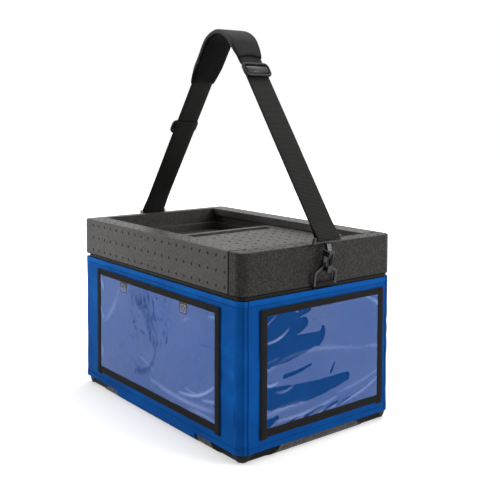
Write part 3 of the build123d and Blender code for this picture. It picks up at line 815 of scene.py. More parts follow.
def paintSeamShade(piece):
    # painted shade in the narrow joint between the frame and the end block, and on the lid's lower edge over
    # the sleeve
    piece.data.materials.append(plain["crackShade"])
    slot = len(piece.data.materials) - 1
    before, reach = lid["seamReach"]
    for face in piece.data.polygons:
        x, normal = face.center.x, face.normal
        atSeam = abs(x - frameHigh.x) < reach and face.area < lid["seamFace"]
        underEdge = face.center.z < frameLow.z + lid["shadeHeight"] and -0.97 < normal.z < -0.12
        if (atSeam and (abs(normal.x) > 0.15 or x > frameHigh.x - before)) or underEdge:
            face.material_index = slot


def squareCorners(piece):
    # pulls the rounded left corners out to a smaller radius
    radius, newRadius = lid["cadRadius"], lid["leftRadius"]
    flat = radius - newRadius
    for vertex in piece.data.vertices:
        dx = -vertex.co.x - (blockHigh.x - radius)
        dy = abs(vertex.co.y) - (sideY - radius)
        if dx <= 0 or dy <= 0:
            continue
        reach = hypot(dx, dy)
        ux, uy = dx / reach, dy / reach
        # where the same ray meets the outline with the smaller radius
        out = min(radius / ux, radius / uy)
        if ux * out > flat and uy * out > flat:
            b = flat * (ux + uy)
            out = b + sqrt(max(0.0, b * b - 2 * flat * flat + newRadius * newRadius))
        scale = 1 + (out / radius - 1) * min(1.0, reach / radius)
        vertex.co.x = -(blockHigh.x - radius) - dx * scale
        vertex.co.y = (1 if vertex.co.y > 0 else -1) * (sideY - radius + dy * scale)


def addGroove(cutters):
    # a narrow square ring that cuts the joint line into the frame
    work = bmesh.new()
    work.from_mesh(cutters.data)
    rings = []
    for x in (frameHigh.x - lid["groove"], frameHigh.x + 0.002):
        for beyond in (0.006, -lid["grooveDepth"]):
            low, high, half = frameLow.z - beyond, lidTop + beyond, sideY + beyond
            corners = ((-half, low), (half, low), (half, high), (-half, high))
            rings.append([work.verts.new((x, y, z)) for y, z in corners])
    for a, b in ((0, 1), (1, 3), (3, 2), (2, 0)):
        for k in range(4):
            n = (k + 1) % 4
            work.faces.new((rings[a][k], rings[a][n], rings[b][n], rings[b][k]))
    bmesh.ops.recalc_face_normals(work, faces=work.faces)
    work.to_mesh(cutters.data)
    work.free()
    return cutters


def makeLidFrame():
    low, high = lid["sideRows"]
    columns = lid["sideColumns"]
    run = lid["sidePitch"] * (columns - 1)
    middle = lid["sideStart"] + run / 2
    grids = []
    for side in (-1, 1):
        grids.append(((middle, side * sideY, (low + high) / 2), (radians(90 * -side), 0, 0),
                      run, high - low, columns, 3, *lid["sideVent"]))
        grids.append(((middle, side * (sideY - lid["rimIn"]), lidTop), (0, 0, 0),
                      run, lid["rimGap"], columns, 2, *lid["rimVent"]))
    grids.append(((frameLow.x, 0, (low + high) / 2), (0, radians(-90), 0),
                  high - low, lid["endRun"], 3, lid["endColumns"], *lid["sideVent"]))
    piece = softenedCopy("lid_frame", "lidFrame", lid["edge"])
    cutVents(piece, addGroove(ventCutters("frameVents", grids, ventShade)), foam)
    paintSeamShade(piece)
    squareCorners(piece)
    finishPiece(piece, "lid", "foam", ["lid_frame"])


def makeEndBlock():
    middle = (blockHigh.x + frameHigh.x) / 2
    grids = [((middle - lid["blockIn"], 0, lidTop), (0, 0, 0), *lid["blockGrid"], *lid["blockVent"])]
    piece = softenedCopy("lid_end_block", "lidEndBlock", lid["edge"])
    cutVents(piece, ventCutters("blockVents", grids, deepVentShade), rawFoam)
    paintSeamShade(piece)
    finishPiece(piece, "lid", "foam", ["lid_end_block"])


def makeCover():
    runX, runY = [pitch * (lid["coverRows"] - 1) for pitch in lid["coverPitch"]]
    centre = (lid["coverStart"] + runX / 2, lid["coverAside"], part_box("sliding_cover")[1].z)
    grids = [(centre, (0, 0, 0), runX, runY, lid["coverRows"], lid["coverRows"], *lid["coverVent"])]
    piece = softenedCopy("sliding_cover", "slidingCover", lid["edge"])
    cutVents(piece, ventCutters("coverVents", grids, deepVentShade), coverFoam)
    finishPiece(piece, "cover", "foam", ["sliding_cover"])


makeLidFrame()
makeEndBlock()
makeCover()
print("lid made")


# foam body and what is inside it

footCorner = {"reach": (0.008, 0.016), "lift": 0.0045, "height": 0.022}


def dress(node, look):
    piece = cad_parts[node]
    piece.data.materials.clear()
    piece.data.materials.append(plain[look])


def makeBody():
    # the foam box, with its bottom corners worn rounder so that the straps show under them
    piece = softenedCopy("body", "foamBody", 0.0008)
    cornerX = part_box("body")[1].x
    for vertex in piece.data.vertices:
        x, y, z = vertex.co
        gap = ((cornerX - abs(x)) + (sideY - abs(y))) / sqrt(2)
        worn = float(1 - smoothStep(*footCorner["reach"], gap))
        low = float(1 - smoothStep(0.0, footCorner["height"], z))
        vertex.co.z += footCorner["lift"] * (worn * low)
    finishPiece(piece, "box", "foam", ["body"], footFoam)


makeBody()
for number in range(1, 13):
    dress(f"ice_pack_{number}", "packPlastic")
dress("ice_pack_caps", "capPlastic")
print("body and packs dressed")


# sleeve and sling

sleeve = {
    "corner": 0.020,
    "leftCorner": 0.010,
    "cornerSteps": 34,
    "columns": (0.0012, 0.0028, 0.005, 0.008, 0.012, 0.017, 0.023, 0.030, 0.037, 0.045, 0.053, 0.061),
    "rows": (0, 0.0006, 0.0016, 0.004, 0.008, 0.0107, 0.0118, 0.0130, 0.017),
    "thickness": 0.0018,
    "inset": 0.0006,               # how far behind the solid's face the smooth cloth lies
    "hem": 0.011,
    "hemRise": 0.0005,
    "seamTurn": 8,                 # degrees from the end face, where each corner is joined
    "seamDepth": 0.0013,
    "seamWidth": 0.0011,
    "fell": 0.0085,                # how far the folded seam reaches beside its joint
    "fellRise": 0.0005,
    "wrinkle": 0.0012,
    "cornerReach": 0.045,          # the wrinkles fade out this far from a corner
    "cornerCalm": 0.012,           # and are weaker this close to it
    "sag": 0.0010,
    "hemCalm": 0.03,               # the cloth lies close this far from its top and bottom
    # the next five set painted light and shade in the cloth's colour: along its wrinkles near the corners, on
    # its ends, on its top edge and towards its bottom
    "shade": 95.0,                 # how strongly the cloth's tone follows its wrinkles
    "shadeReach": 0.060,
    "endShade": 0.16,              # the ends are a little darker than the long sides
    "paintedTopLight": (0.16, 0.012),      # how much paler the top edge is, and over what height
    "lowShade": (0.05, 0.020),
    "stitch": 0.0013,
    "midRows": 34,
}
sleeveLow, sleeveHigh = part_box("sleeve")


def sleeveOutline():
    # (x, y, nx, ny, distance round, signed distance to the seam, distance to the corner) round the box
    halfX, halfY = sleeveHigh.x, sleeveHigh.y
    signs = ((1, -1), (1, 1), (-1, 1), (-1, -1))
    radii = [sleeve["corner"] if sx > 0 else sleeve["leftCorner"] for sx, _ in signs]
    turn, steps = sleeve["seamTurn"], sleeve["cornerSteps"]
    outline, around = [], 0.0
    for index, ((sx, sy), r) in enumerate(zip(signs, radii)):
        first = -90 + 90 * index
        flip = -1 if sx * sy > 0 else 1
        seam = (0 if sx > 0 else 180) - flip * turn
        for i in range(steps + 1):
            angle = first + 90 * i / steps
            offset = (angle - seam + 180) % 360 - 180
            c, s = cos(radians(angle)), sin(radians(angle))
            outline.append((sx * (halfX - r) + r * c, sy * (halfY - r) + r * s, c, s,
                            around + radians(angle - first) * r, flip * radians(offset) * r,
                            abs(radians(angle - first - 45)) * r))
        around += radians(90) * r
        x, y, nx, ny = outline[-1][:4]
        (afterX, afterY), q = signs[(index + 1) % 4], radii[(index + 1) % 4]
        atEnd = abs(nx) > 0.5
        goalX, goalY = (x, afterY * (halfY - q)) if atEnd else (afterX * (halfX - q), y)
        run = hypot(goalX - x, goalY - y)
        count = int((run - 0.14) / 0.010)
        stops = [*sleeve["columns"], *[0.07 + (run - 0.14) * i / count for i in range(count + 1)],
                 *[run - e for e in reversed(sleeve["columns"])]]
        for stop in stops:
            near = min(stop, run - stop)
            seamGap = radians(turn) * r + near if atEnd else -(radians(90 - turn) * r + near)
            outline.append((x + (goalX - x) * stop / run, y + (goalY - y) * stop / run, nx, ny,
                            around + stop, seamGap, radians(45) * r + near))
        around += run
    outline.append(outline[0][:4] + (around,) + outline[0][5:])
    return outline, around


def clothSwell(around, height, seamGap, cornerGap):
    # how far the cloth stands out of its plane
    s = sleeve
    fromTop, fromLow = sleeveHigh.z - height, height - sleeveLow.z
    hem = s["hemRise"] * (2 - smoothStep(s["hem"], s["hem"] + 0.0015, fromTop)
                          - smoothStep(s["hem"], s["hem"] + 0.0015, fromLow))
    groove = -s["seamDepth"] * np.exp(-(seamGap / s["seamWidth"]) ** 2)
    fell = s["fellRise"] * smoothStep(-s["fell"] - 0.001, -s["fell"], seamGap)
    fell = fell * (1 - smoothStep(-0.0018, -0.0008, seamGap))
    near = np.exp(-(cornerGap / s["cornerReach"]) ** 2)
    bulge = 1 - 0.6 * np.exp(-(cornerGap / s["cornerCalm"]) ** 2)
    ripple = np.sin(2 * pi * (height / 0.052 + around / 0.16 + 0.35 * np.sin(height / 0.031)))
    ripple = ripple * (0.5 + 0.5 * np.sin(2 * pi * height / 0.27 + around * 9))
    waves = noiseField(around, height, (9, 14), 3.1)
    small = noiseField(around, height, (31, 40), 7.7)
    inner = smoothStep(0, s["hemCalm"], fromTop) * smoothStep(0, s["hemCalm"], fromLow)
    loose = inner * (s["wrinkle"] * near * bulge * ripple + s["sag"] * waves + 0.25 * s["sag"] * small)
    return hem + groove + fell + loose - s["inset"]


def makeSleeve():
    s = sleeve
    outline, perimeter = sleeveOutline()
    low, high = sleeveLow.z, sleeveHigh.z
    heights = [low + e for e in s["rows"]]
    heights += [low + 0.022 + (high - low - 0.044) * i / s["midRows"] for i in range(s["midRows"] + 1)]
    heights += [high - e for e in reversed(s["rows"])]
    rows, columns = len(heights), len(outline)
    baseX, baseY, nx, ny, around, seamGap, cornerGap = np.tile(np.array(outline), (rows, 1)).T
    height = np.repeat(heights, columns)
    swell = clothSwell(around, height, seamGap, cornerGap).reshape(rows, columns)
    swell[:, -1] = swell[:, 0]
    swell = swell.ravel()
    mesh = newMesh("sleeveCloth", np.column_stack([baseX + swell * nx, baseY + swell * ny, height]),
                   strips(rows, columns))
    addFlatMap(mesh, np.column_stack([around, height]))
    # painted shade in the seam groove and along the edge of the folded seam beside it
    seam = np.maximum(0.95 * np.exp(-(seamGap / s["seamWidth"]) ** 2),
                      0.35 * np.exp(-((seamGap + s["fell"]) / 0.0010) ** 2))
    (glow, topLightReach), (dim, dimReach) = s["paintedTopLight"], s["lowShade"]
    # painted light on the top edge, and painted shade towards the bottom, on the ends and in the wrinkles near
    # the corners
    lift = glow * np.exp(-((high - height) / topLightReach) ** 2) - dim * np.exp(-((height - low) / dimReach) ** 2)
    lift -= s["endShade"] * np.abs(nx)
    lift += s["shade"] * (swell + s["inset"]) * np.exp(-(cornerGap / s["shadeReach"]) ** 2)
    addValues(mesh, seam=seam, lift=lift)
    mend(mesh, outward=False)
    piece = newObject("sleeveCloth", mesh)
    addModifier(piece, "SOLIDIFY", thickness=s["thickness"], offset=-1)
    addModifier(piece, "BEVEL", width=0.0006, segments=2, limit_method="ANGLE", angle_limit=radians(60))
    bake(piece).data.shade_smooth()
    finishPiece(piece, "box", "sleeve_fabric", ["sleeve"], cloth)

    def onCloth(p, z):
        return (p[0] + p[2] * 0.0001, p[1] + p[3] * 0.0001, z)

    rows = [[onCloth(p, z) for p in outline] for z in (low + s["hem"], high - s["hem"])]
    hem = sewLines("hemStitches", rows, "blueThread", "box", "sleeve_fabric", width=s["stitch"])
    rows = [[onCloth(p, z) for z in np.linspace(low + 0.002, high - 0.002, 60)]
            for p in outline if abs(p[5] + s["fell"]) < 0.0006]
    seams = sewLines("seamStitches", rows[:4], "darkThread", "box", "sleeve_fabric")


slingCut = {"thickness": 0.0020, "radius": 0.0155, "sew": (0.0025, 0.0070), "columns": 60, "turns": 12,
            "ripple": 0.0005}


def makeSling():
    low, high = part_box("base_sling")
    r, turns = slingCut["radius"], slingCut["turns"]
    half = high.y - r
    turn = [(high.y, high.z + 0.0004)]
    for i in range(turns + 1):
        angle = radians(90 * i / turns)
        turn.append((half + r * cos(angle), low.z + r - r * sin(angle)))
    path = [(-y, z) for y, z in turn]
    path += [(y, low.z) for y in np.linspace(-half, half, 40)[1:-1]] + turn[::-1]
    along = np.concatenate([[0], np.cumsum(np.hypot(*np.diff(np.array(path), axis=0).T))])
    across = np.linspace(low.x, high.x, slingCut["columns"])
    verts, flat = [], []
    for (y, z), stop in zip(path, along):
        upright = min(1.0, max(0.0, (z - low.z) / 0.02)) * (1 if y > 0 else -1)
        for x in across:
            bump = slingCut["ripple"] * noise.noise(Vector((x * 18, y * 11, z * 40))) * upright
            verts.append((x, y - bump, z))
            flat.append((x, stop))
    mesh = newMesh("slingCloth", verts, strips(len(path), len(across)))
    addFlatMap(mesh, flat)
    piece = newObject("slingCloth", mesh)
    below = mesh.polygons[len(mesh.polygons) // 2].normal.z < 0
    addModifier(piece, "SOLIDIFY", thickness=slingCut["thickness"], offset=-1 if below else 1)
    bake(piece).data.shade_smooth()
    mend(piece.data)
    finishPiece(piece, "box", "sleeve_fabric", ["base_sling"], cloth)
    rows = []
    for side in (-1, 1):
        for z in slingCut["sew"]:
            y = side * (half + sqrt(r * r - (r - z) ** 2))
            rows.append([(x, y, low.z + z) for x in (low.x + 0.003, high.x - 0.003)])
    sewn = sewLines("slingStitches", rows, "blueThread", "box", "sleeve_fabric", width=sleeve["stitch"])


makeSleeve()
makeSling()
print("sleeve and sling made")


# document pockets

pocket = {
    "grid": {"long": 0.0024, "end": 0.0020},
    "filmThickness": 0.0004,
    "filmGap": 0.0015,
    "swell": 0.0012,
    "swellFrom": (0.010, 0.030),   # from the edge, where the film starts to swell and swells fully
    "creaseRise": 0.0013,
    "creaseFrom": (0.012, 0.018),
    "tape": 0.016,
    "tapeRise": 0.0012,
    "tapeGap": 0.0007,
    "tapeStep": 0.006,
    "sewIn": 0.0022,               # from the tape's edge to its stitches
    "overlap": 0.0004,             # how much higher the upright tapes lie
    "tail": 0.003,
    "topTrim": 0.0026,             # the top tape is this much narrower
    "shift": {"right": 0.009},
}
# each stroke has its start, end and bow as shares of the film, its half width in metres and its strength
# whiter creases in the film, partly crease whitening and partly painted highlights
creases = {
    "long": (
        (0.72, 0.175, 0.99, 0.375, 0.01, -0.05, 0.003, 0.85),
        (0.5, 0.16, 1.0, 0.155, 0.0, -0.035, 0.005, 0.5),
        (0.89, 0.2, 1.0, 0.235, 0.0, 0.0, 0.003, 0.55),
        (0.78, 0.07, 1.0, 0.06, 0.0, 0.015, 0.003, 0.4),
        (0.76, 0.24, 0.86, 0.225, 0.0, -0.01, 0.0022, 0.45),
        (0.74, 0.78, 0.8, 0.83, 0.0, 0.01, 0.003, 0.3),
        (0.02, 0.27, 0.05, 0.18, 0.01, 0.0, 0.0025, 0.55),
        (0.07, 0.51, 0.21, 0.85, 0.01, -0.02, 0.007, 0.26),
        (0.02, 0.64, 0.05, 0.52, 0.01, 0.0, 0.003, 0.3),
        (0.02, 0.93, 0.06, 0.82, 0.0, 0.0, 0.005, 0.4),
        (0.93, 0.9, 1.0, 0.86, 0.02, 0.02, 0.0026, 0.45),
        (0.4, 0.33, 0.52, 0.25, 0.0, 0.0, 0.0034, 0.25),
    ),
    "end": (
        (0.0, 0.725, 0.2, 0.812, 0.02, -0.02, 0.0026, 0.8),
        (0.01, 0.85, 0.11, 0.945, 0.0, 0.0, 0.0018, 0.5),
        (0.24, 0.965, 0.28, 0.93, 0.0, 0.0, 0.0014, 0.6),
        (0.0, 0.56, 0.13, 0.6, 0.0, 0.0, 0.0016, 0.35),
        (0.0, 0.48, 0.83, 0.5, -0.08, 0.11, 0.004, 0.24),
        (0.0, 0.415, 0.12, 0.4, 0.0, -0.02, 0.0024, 0.65),
        (0.11, 0.325, 0.24, 0.345, 0.0, -0.02, 0.0024, 0.6),
        (0.02, 0.155, 0.34, 0.18, 0.02, 0.02, 0.005, 0.35),
        (0.1, 0.09, 0.6, 0.15, 0.0, -0.03, 0.0034, 0.45),
        (0.45, 0.06, 1.0, 0.24, 0.03, -0.04, 0.0026, 0.45),
        (0.6, 0.18, 1.0, 0.3, 0.0, -0.02, 0.004, 0.22),
        (0.9, 0.91, 1.0, 0.725, 0.03, 0.02, 0.0026, 0.55),
        (0.8, 0.96, 0.97, 0.88, 0.0, 0.01, 0.002, 0.35),
        (0.84, 0.52, 1.0, 0.46, 0.02, 0.01, 0.003, 0.25),
        (0.97, 0.42, 0.99, 0.18, 0.0, 0.0, 0.0022, 0.35),
    ),
}
# clear patches in the film's haze, where its painted reflection is missing
clearings = {
    "long": (
        (0.36, 0.94, 0.52, 0.5, 0.04, 0.0, 0.052, 0.52),
        (0.4, 0.84, 0.48, 0.58, 0.03, 0.0, 0.028, 0.6),
        (0.33, 0.74, 0.4, 0.48, 0.0, 0.0, 0.022, 0.46),
        (0.16, 0.62, 0.3, 0.5, 0.0, 0.0, 0.03, 0.38),
        (0.36, 0.17, 0.53, 0.43, 0.03, -0.05, 0.009, 0.6),
        (0.34, 0.26, 0.42, 0.22, 0.0, -0.02, 0.006, 0.52),
        (0.4, 0.05, 0.55, 0.14, 0.02, -0.03, 0.005, 0.55),
        (0.88, 0.655, 1.0, 0.66, 0.0, 0.0, 0.0024, 0.7),
        (0.03, 0.72, 0.08, 0.55, 0.0, 0.0, 0.01, 0.46),
        (0.72, 0.2, 0.84, 0.26, 0.0, -0.02, 0.003, 0.52),
        (0.6, 0.9, 0.72, 0.78, 0.0, 0.0, 0.016, 0.42),
    ),
    "end": (
        (0.0, 0.91, 0.36, 0.95, 0.0, -0.01, 0.019, 0.95),
        (0.28, 0.96, 0.42, 0.985, 0.0, 0.0, 0.006, 0.9),
        (0.0, 0.77, 0.32, 0.835, 0.0, -0.01, 0.029, 1.0),
        (0.0, 0.635, 0.45, 0.69, 0.0, -0.01, 0.03, 1.0),
        (0.435, 0.66, 0.475, 0.765, 0.015, 0.0, 0.012, 0.95),
        (0.05, 0.29, 0.68, 0.3, 0.0, -0.03, 0.024, 1.0),
        (0.0, 0.35, 0.12, 0.33, 0.0, 0.0, 0.009, 0.85),
        (0.17, 0.436, 0.38, 0.481, 0.0, -0.01, 0.0055, 0.85),
        (0.545, 0.37, 0.58, 0.45, 0.0, 0.0, 0.0036, 0.8),
        (0.0, 0.07, 0.12, 0.12, 0.0, 0.0, 0.012, 0.75),
        (0.19, 0.037, 0.27, 0.075, 0.0, 0.0, 0.0048, 0.75),
        (0.34, 0.06, 0.48, 0.105, 0.0, 0.01, 0.005, 0.75),
        (0.48, 0.045, 0.61, 0.107, 0.0, 0.01, 0.0044, 0.7),
        (0.6, 0.073, 0.72, 0.113, 0.0, 0.0, 0.004, 0.7),
        (0.07, 0.2, 0.2, 0.215, 0.0, 0.01, 0.005, 0.72),
    ),
}
pocketSides = {                    # the way along each side and out of it, and its own noise
    "front": (Vector((1, 0, 0)), Vector((0, -1, 0)), 1.3),
    "back": (Vector((-1, 0, 0)), Vector((0, 1, 0)), 5.9),
    "right": (Vector((0, 1, 0)), Vector((1, 0, 0)), 9.2),
    "left": (Vector((0, -1, 0)), Vector((-1, 0, 0)), 14.6),
}


def mottle(count, seed):
    # small clear flecks in the film's haze, where its painted reflection is missing
    chance = np.random.RandomState(seed)
    flecks = []
    for _ in range(count):
        u, v = chance.uniform(0.32, 0.62), chance.uniform(0.46, 0.93)
        turn, reach = chance.uniform(0.9, 2.4), chance.uniform(0.008, 0.030)
        flecks.append((u, v, u + reach * cos(turn), v + 1.9 * reach * sin(turn), 0.0, 0.0,
                       chance.uniform(0.0022, 0.0042), chance.uniform(0.56, 0.72)))
    return tuple(flecks)


clearings["long"] += mottle(54, 11)


def strokeField(across, rise, width, tall, strokes, flat):
    # strength of the nearest strokes at every point; flat ones have a broad top and a thin far end
    field = np.zeros(len(across))
    t = np.linspace(0, 1, 13)
    for startU, startV, endU, endV, bowU, bowV, thick, amount in strokes:
        u = (startU + (endU - startU) * t + bowU * np.sin(pi * t)) * width
        v = (startV + (endV - startV) * t + bowV * np.sin(pi * t)) * tall
        gap = np.full(len(across), 9.0)
        place = np.zeros(len(across))
        for k in range(len(t) - 1):
            du, dv = u[k + 1] - u[k], v[k + 1] - v[k]
            share = np.clip(((across - u[k]) * du + (rise - v[k]) * dv) / (du * du + dv * dv + 1e-12), 0, 1)
            d = np.hypot(across - u[k] - share * du, rise - v[k] - share * dv)
            closer = d < gap
            gap = np.where(closer, d, gap)
            place = np.where(closer, t[k] + share * t[1], place)
        if flat:
            shape = 1 - smoothStep(0.45, 1.25, gap / (thick * (1 - 0.55 * place ** 2)))
        else:
            shape = np.exp(-(gap / thick) ** 2) * np.sin(pi * np.clip(0.08 + 0.86 * place, 0, 1)) ** 0.6
        field = np.maximum(field, amount * shape)
    return field


def makeFilm(side, kind, material):
    along, outward, seed = pocketSides[side]
    node, name = f"pocket_film_{side}", f"film_{side}"
    low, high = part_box(node)
    middle = (low + high) / 2
    width, tall = abs((high - low).dot(along)), high.z - low.z
    columns, rows = [round(size / pocket["grid"][kind]) + 1 for size in (width, tall)]
    u, v = [grid.ravel() for grid in np.meshgrid(np.linspace(0, width, columns), np.linspace(0, tall, rows))]
    seen = u if side in ("front", "right") else width - u
    white = strokeField(seen, v, width, tall, creases[kind], False)
    clear = strokeField(seen, v, width, tall, clearings[kind], True)
    billow, ripple = noiseField(u, v, (11, 9), seed), noiseField(u, v, (38, 26), seed + 2)
    edge = np.minimum(np.minimum(u, width - u), np.minimum(v, tall - v))
    free = smoothStep(*pocket["swellFrom"], edge)
    out = pocket["filmGap"] + free * (pocket["swell"] * (0.6 + 0.5 * billow) + 0.0003 * ripple) \
        + smoothStep(*pocket["creaseFrom"], edge) * white * pocket["creaseRise"]
    middle += along * pocket["shift"].get(side, 0)
    base = middle + outward * (sleeveHigh.dot(Vector((abs(outward.x), abs(outward.y), 0)))
                               - abs(middle.dot(outward)))
    points = [base + along * (a - width / 2) + up * (b - tall / 2) + outward * o for a, b, o in zip(u, v, out)]
    mesh = newMesh(name, points, strips(rows, columns))
    addFlatMap(mesh, np.column_stack([u, v]))
    addValues(mesh, crease=white, clear=clear)
    piece = newObject(name, mesh)
    addModifier(piece, "SOLIDIFY", thickness=pocket["filmThickness"], offset=0)
    bake(piece).data.shade_smooth()
    finishPiece(piece, "box", "clear_film", [node], material)
    return base


tapeProfile = ((-0.5, 0.0), (-0.5, 0.6), (-0.46, 1.0), (0, 1.06), (0.46, 1.0), (0.5, 0.6), (0.5, 0.0))


def makeBinding(side, base):
    along, outward, _ = pocketSides[side]
    node, name = f"pocket_binding_{side}", f"binding_{side}"
    low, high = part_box(node)
    wide, tail, trim, rise = pocket["tape"], pocket["tail"], pocket["topTrim"], pocket["tapeRise"]
    width, tall = abs((high - low).dot(along)), high.z - low.z - 2 * tail
    points, flat, quads, lines = [], [], [], []

    def addTape(centre, run, across, length, width, lift, seed, reach):
        # one flat run of tape with soft edges and a slightly uneven width, and its two rows of stitches
        steps = max(8, int(length / pocket["tapeStep"]))
        quads.extend(tubeFaces(len(points), steps + 1, len(tapeProfile)))
        for i in range(steps + 1):
            s = (i / steps - 0.5) * length
            wobble = 0.0005 * noise.noise(Vector((s * 40, seed, 0.5)))
            puff = 1 + 0.10 * noise.noise(Vector((s * 90, seed, 4.5)))
            for w, h in tapeProfile:
                edge = w * width + wobble
                points.append(centre + run * s + across * edge + outward * (lift + h * rise * puff))
                flat.append((edge, s))
        for edge in (-1, 1):
            row = centre + across * edge * (width / 2 - pocket["sewIn"]) + outward * (lift + rise * 1.04)
            lines.append([row - run * reach, row + run * reach])

    lift = pocket["tapeGap"]
    for end, cut in ((-1, 0), (1, trim)):
        centre = base + up * (end * (tall - wide) / 2 - cut / 2)
        addTape(centre, along, up, width - wide * 0.9, wide - cut, lift, 3.0 + end, width / 2 - wide - 0.001)
    drop = tail + trim
    for end in (-1, 1):
        centre = base + along * end * (width - wide) / 2 - up * drop / 2
        length = tall + 2 * tail - drop
        addTape(centre, up, along, length, wide, lift + pocket["overlap"], 8.0 + end, length / 2 - tail)
    mesh = newMesh(name, points, quads)
    addFlatMap(mesh, flat)
    mend(mesh, None)
    smooth(mesh, 50)
    finishPiece(newObject(name, mesh), "box", "binding_tape", [node], tape)
    sewLines(f"bindingStitches_{side}", lines, "blackThread", "box", "binding_tape", width=0.0007)


closureTab = {
    "offset": 0.117,
    "width": 0.029,
    "tall": 0.023,
    "corner": 0.004,
    "layers": ((0, 0.0008), (0, 0.0018), (0.0006, 0.0023)),     # inset and height
    "edgeStitches": (0.0125, 0.0098),
    "crossStitches": (0.0085, 0.0070),
    "sewHeight": 0.00235,
    "stitch": {"pitch": 0.0022, "length": 0.0018},
}


def makeTabs(side, base):
    along, outward, _ = pocketSides[side]
    t = closureTab
    node, name = f"pocket_tabs_{side}", f"closureTabs_{side}"
    halfWidth, halfTall = t["width"] / 2, t["tall"] / 2
    outline = roundedOutline(halfWidth, halfTall, t["corner"], 5)
    points, quads, lines, edges = [], [], [], []
    for end in (-1, 1):
        centre = base + along * end * t["offset"]
        centre.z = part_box(node)[1].z - halfTall
        quads += tubeFaces(len(points), len(t["layers"]), len(outline))
        for inset, lift in t["layers"]:
            points += [centre + along * x * (1 - inset / halfWidth) + up * z * (1 - inset / halfTall)
                       + outward * lift for x, z, _, _ in outline]
        face = centre + outward * t["sewHeight"]

        def corners(x, z):
            return [face + along * x * sx + up * z * sz for sx, sz in ((-1, -1), (1, -1), (1, 1), (-1, 1))]

        edges.append(crossedBox(corners(*t["edgeStitches"]))[0])
        lines += crossedBox(corners(*t["crossStitches"]))
    mesh = newMesh(name, points, quads)
    mend(mesh, None)
    smooth(mesh)
    finishPiece(newObject(name, mesh), "box", "closure_tab", [node], plain["tabCloth"])
    sewLines(f"closureStitches_{side}", lines, "whiteThread", "box", "closure_tab", width=0.0014, **t["stitch"])
    sewLines(f"closureEdges_{side}", edges, "blackThread", "box", "closure_tab", width=0.0012, **t["stitch"])


ringSewing = {"out": 0.0008, "wider": 0.002, "heights": (0.001, 0.024), "pitch": 0.0030, "length": 0.0028,
              "width": 0.0022}


def makeTabStitches(side, sign):
    # the crossed box that holds the ring's webbing, sewn through the end of the sleeve
    t = ringSewing
    low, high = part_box(f"d_ring_tab_{side}")
    x, y = sign * (sleeveHigh.x + t["out"]), high.y + t["wider"]
    bottom, top = [low.z + height for height in t["heights"]]
    lines = crossedBox([(x, -y, bottom), (x, y, bottom), (x, y, top), (x, -y, top)])
    sewLines(f"ringTabStitches_{side}", lines, "blackThread", "box", "sleeve_fabric", t["pitch"], t["length"],
             t["width"])


for side in pocketSides:
    if side in ("front", "back"):
        base = makeFilm(side, "long", filmLong)
        makeBinding(side, base)
        makeTabs(side, base)
    else:
        makeBinding(side, makeFilm(side, "end", filmEnd))
for side, sign in sides:
    makeTabStitches(side, sign)
print("pockets made")


# sizes of the shoulder strap, which its hooks also follow

strap = {
    "width": 0.058,
    "thickness": 0.0019,
    "selvage": 0.0012,             # the rounded edge of the webbing
    "lean": radians(34.5),
    "loop": 0.0043,
    "outside": 0.0053,
    "crown": 0.0565,
    "layer": 0.00115,
    "loopRun": 0.045,
    "tails": (0.428, 0.2765),      # how far the doubled layer runs up the right and left legs
    "ribPitch": 0.0030,
    "ribHeight": 0.00016,
    "step": 0.00075,
}
hook = {
    "shank": (0.0378, 0.0410),     # where along the hook its slim shank starts and ends
    "slim": 0.68,
    "halfShank": 0.0062,
    "shankEnd": 0.0003,
    "rise": {1: 0.014, -1: 0.0},   # how far the right and left shanks are drawn out
    "lean": 0.2145,
    "rod": (0.0110, 0.0505),       # from the strap's bar to the hook's rod, inwards and down
}
webLow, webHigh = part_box("strap_webbing")
lean = strap["lean"]
barX = webHigh.x - strap["outside"]
barZ = webLow.z + strap["outside"]
legLength = barX / sin(lean) - strap["crown"] / tan(lean)
crownZ = barZ + barX / tan(lean) - strap["crown"] / sin(lean)


# straps under the corners, rings and their webbing

bandFit = {"edge": 0.0005, "out": 0.0008, "lowest": 0.0002}


def makeCornerStrap(place):
    # stands a little further out than the solid and stays over the floor
    node = f"corner_strap_{place}"
    band = softenedCopy(node, f"cornerStrap_{place}", bandFit["edge"])
    for vertex in band.data.vertices:
        x, y, z = vertex.co + vertex.normal * bandFit["out"]
        vertex.co = (x, y, max(bandFit["lowest"], z))
    finishPiece(band, "box", "webbing", [node], shortWebbing)


def drawnShank(sign):
    # lengthens the shank, so that the bar lies a little further up the strap's leg
    rodX, rodZ = barX - hook["rod"][0], barZ - hook["rod"][1]
    c, s = cos(hook["lean"]), sin(hook["lean"])
    first, last = hook["shank"]

    def reshape(point):
        x, z = sign * point.x - rodX, point.z - rodZ
        rise, out = x * s + z * c, x * c - z * s
        drawn = min(1.0, max(0.0, (rise - first) / (last - first))) * hook["rise"][sign]
        if abs(point.y) < hook["halfShank"] and first < rise < last + hook["shankEnd"]:
            out *= hook["slim"]
        x = rodX + rise * s + out * c - drawn * sin(lean)
        return Vector((sign * x, point.y, rodZ + rise * c - out * s + drawn * cos(lean)))
    return reshape


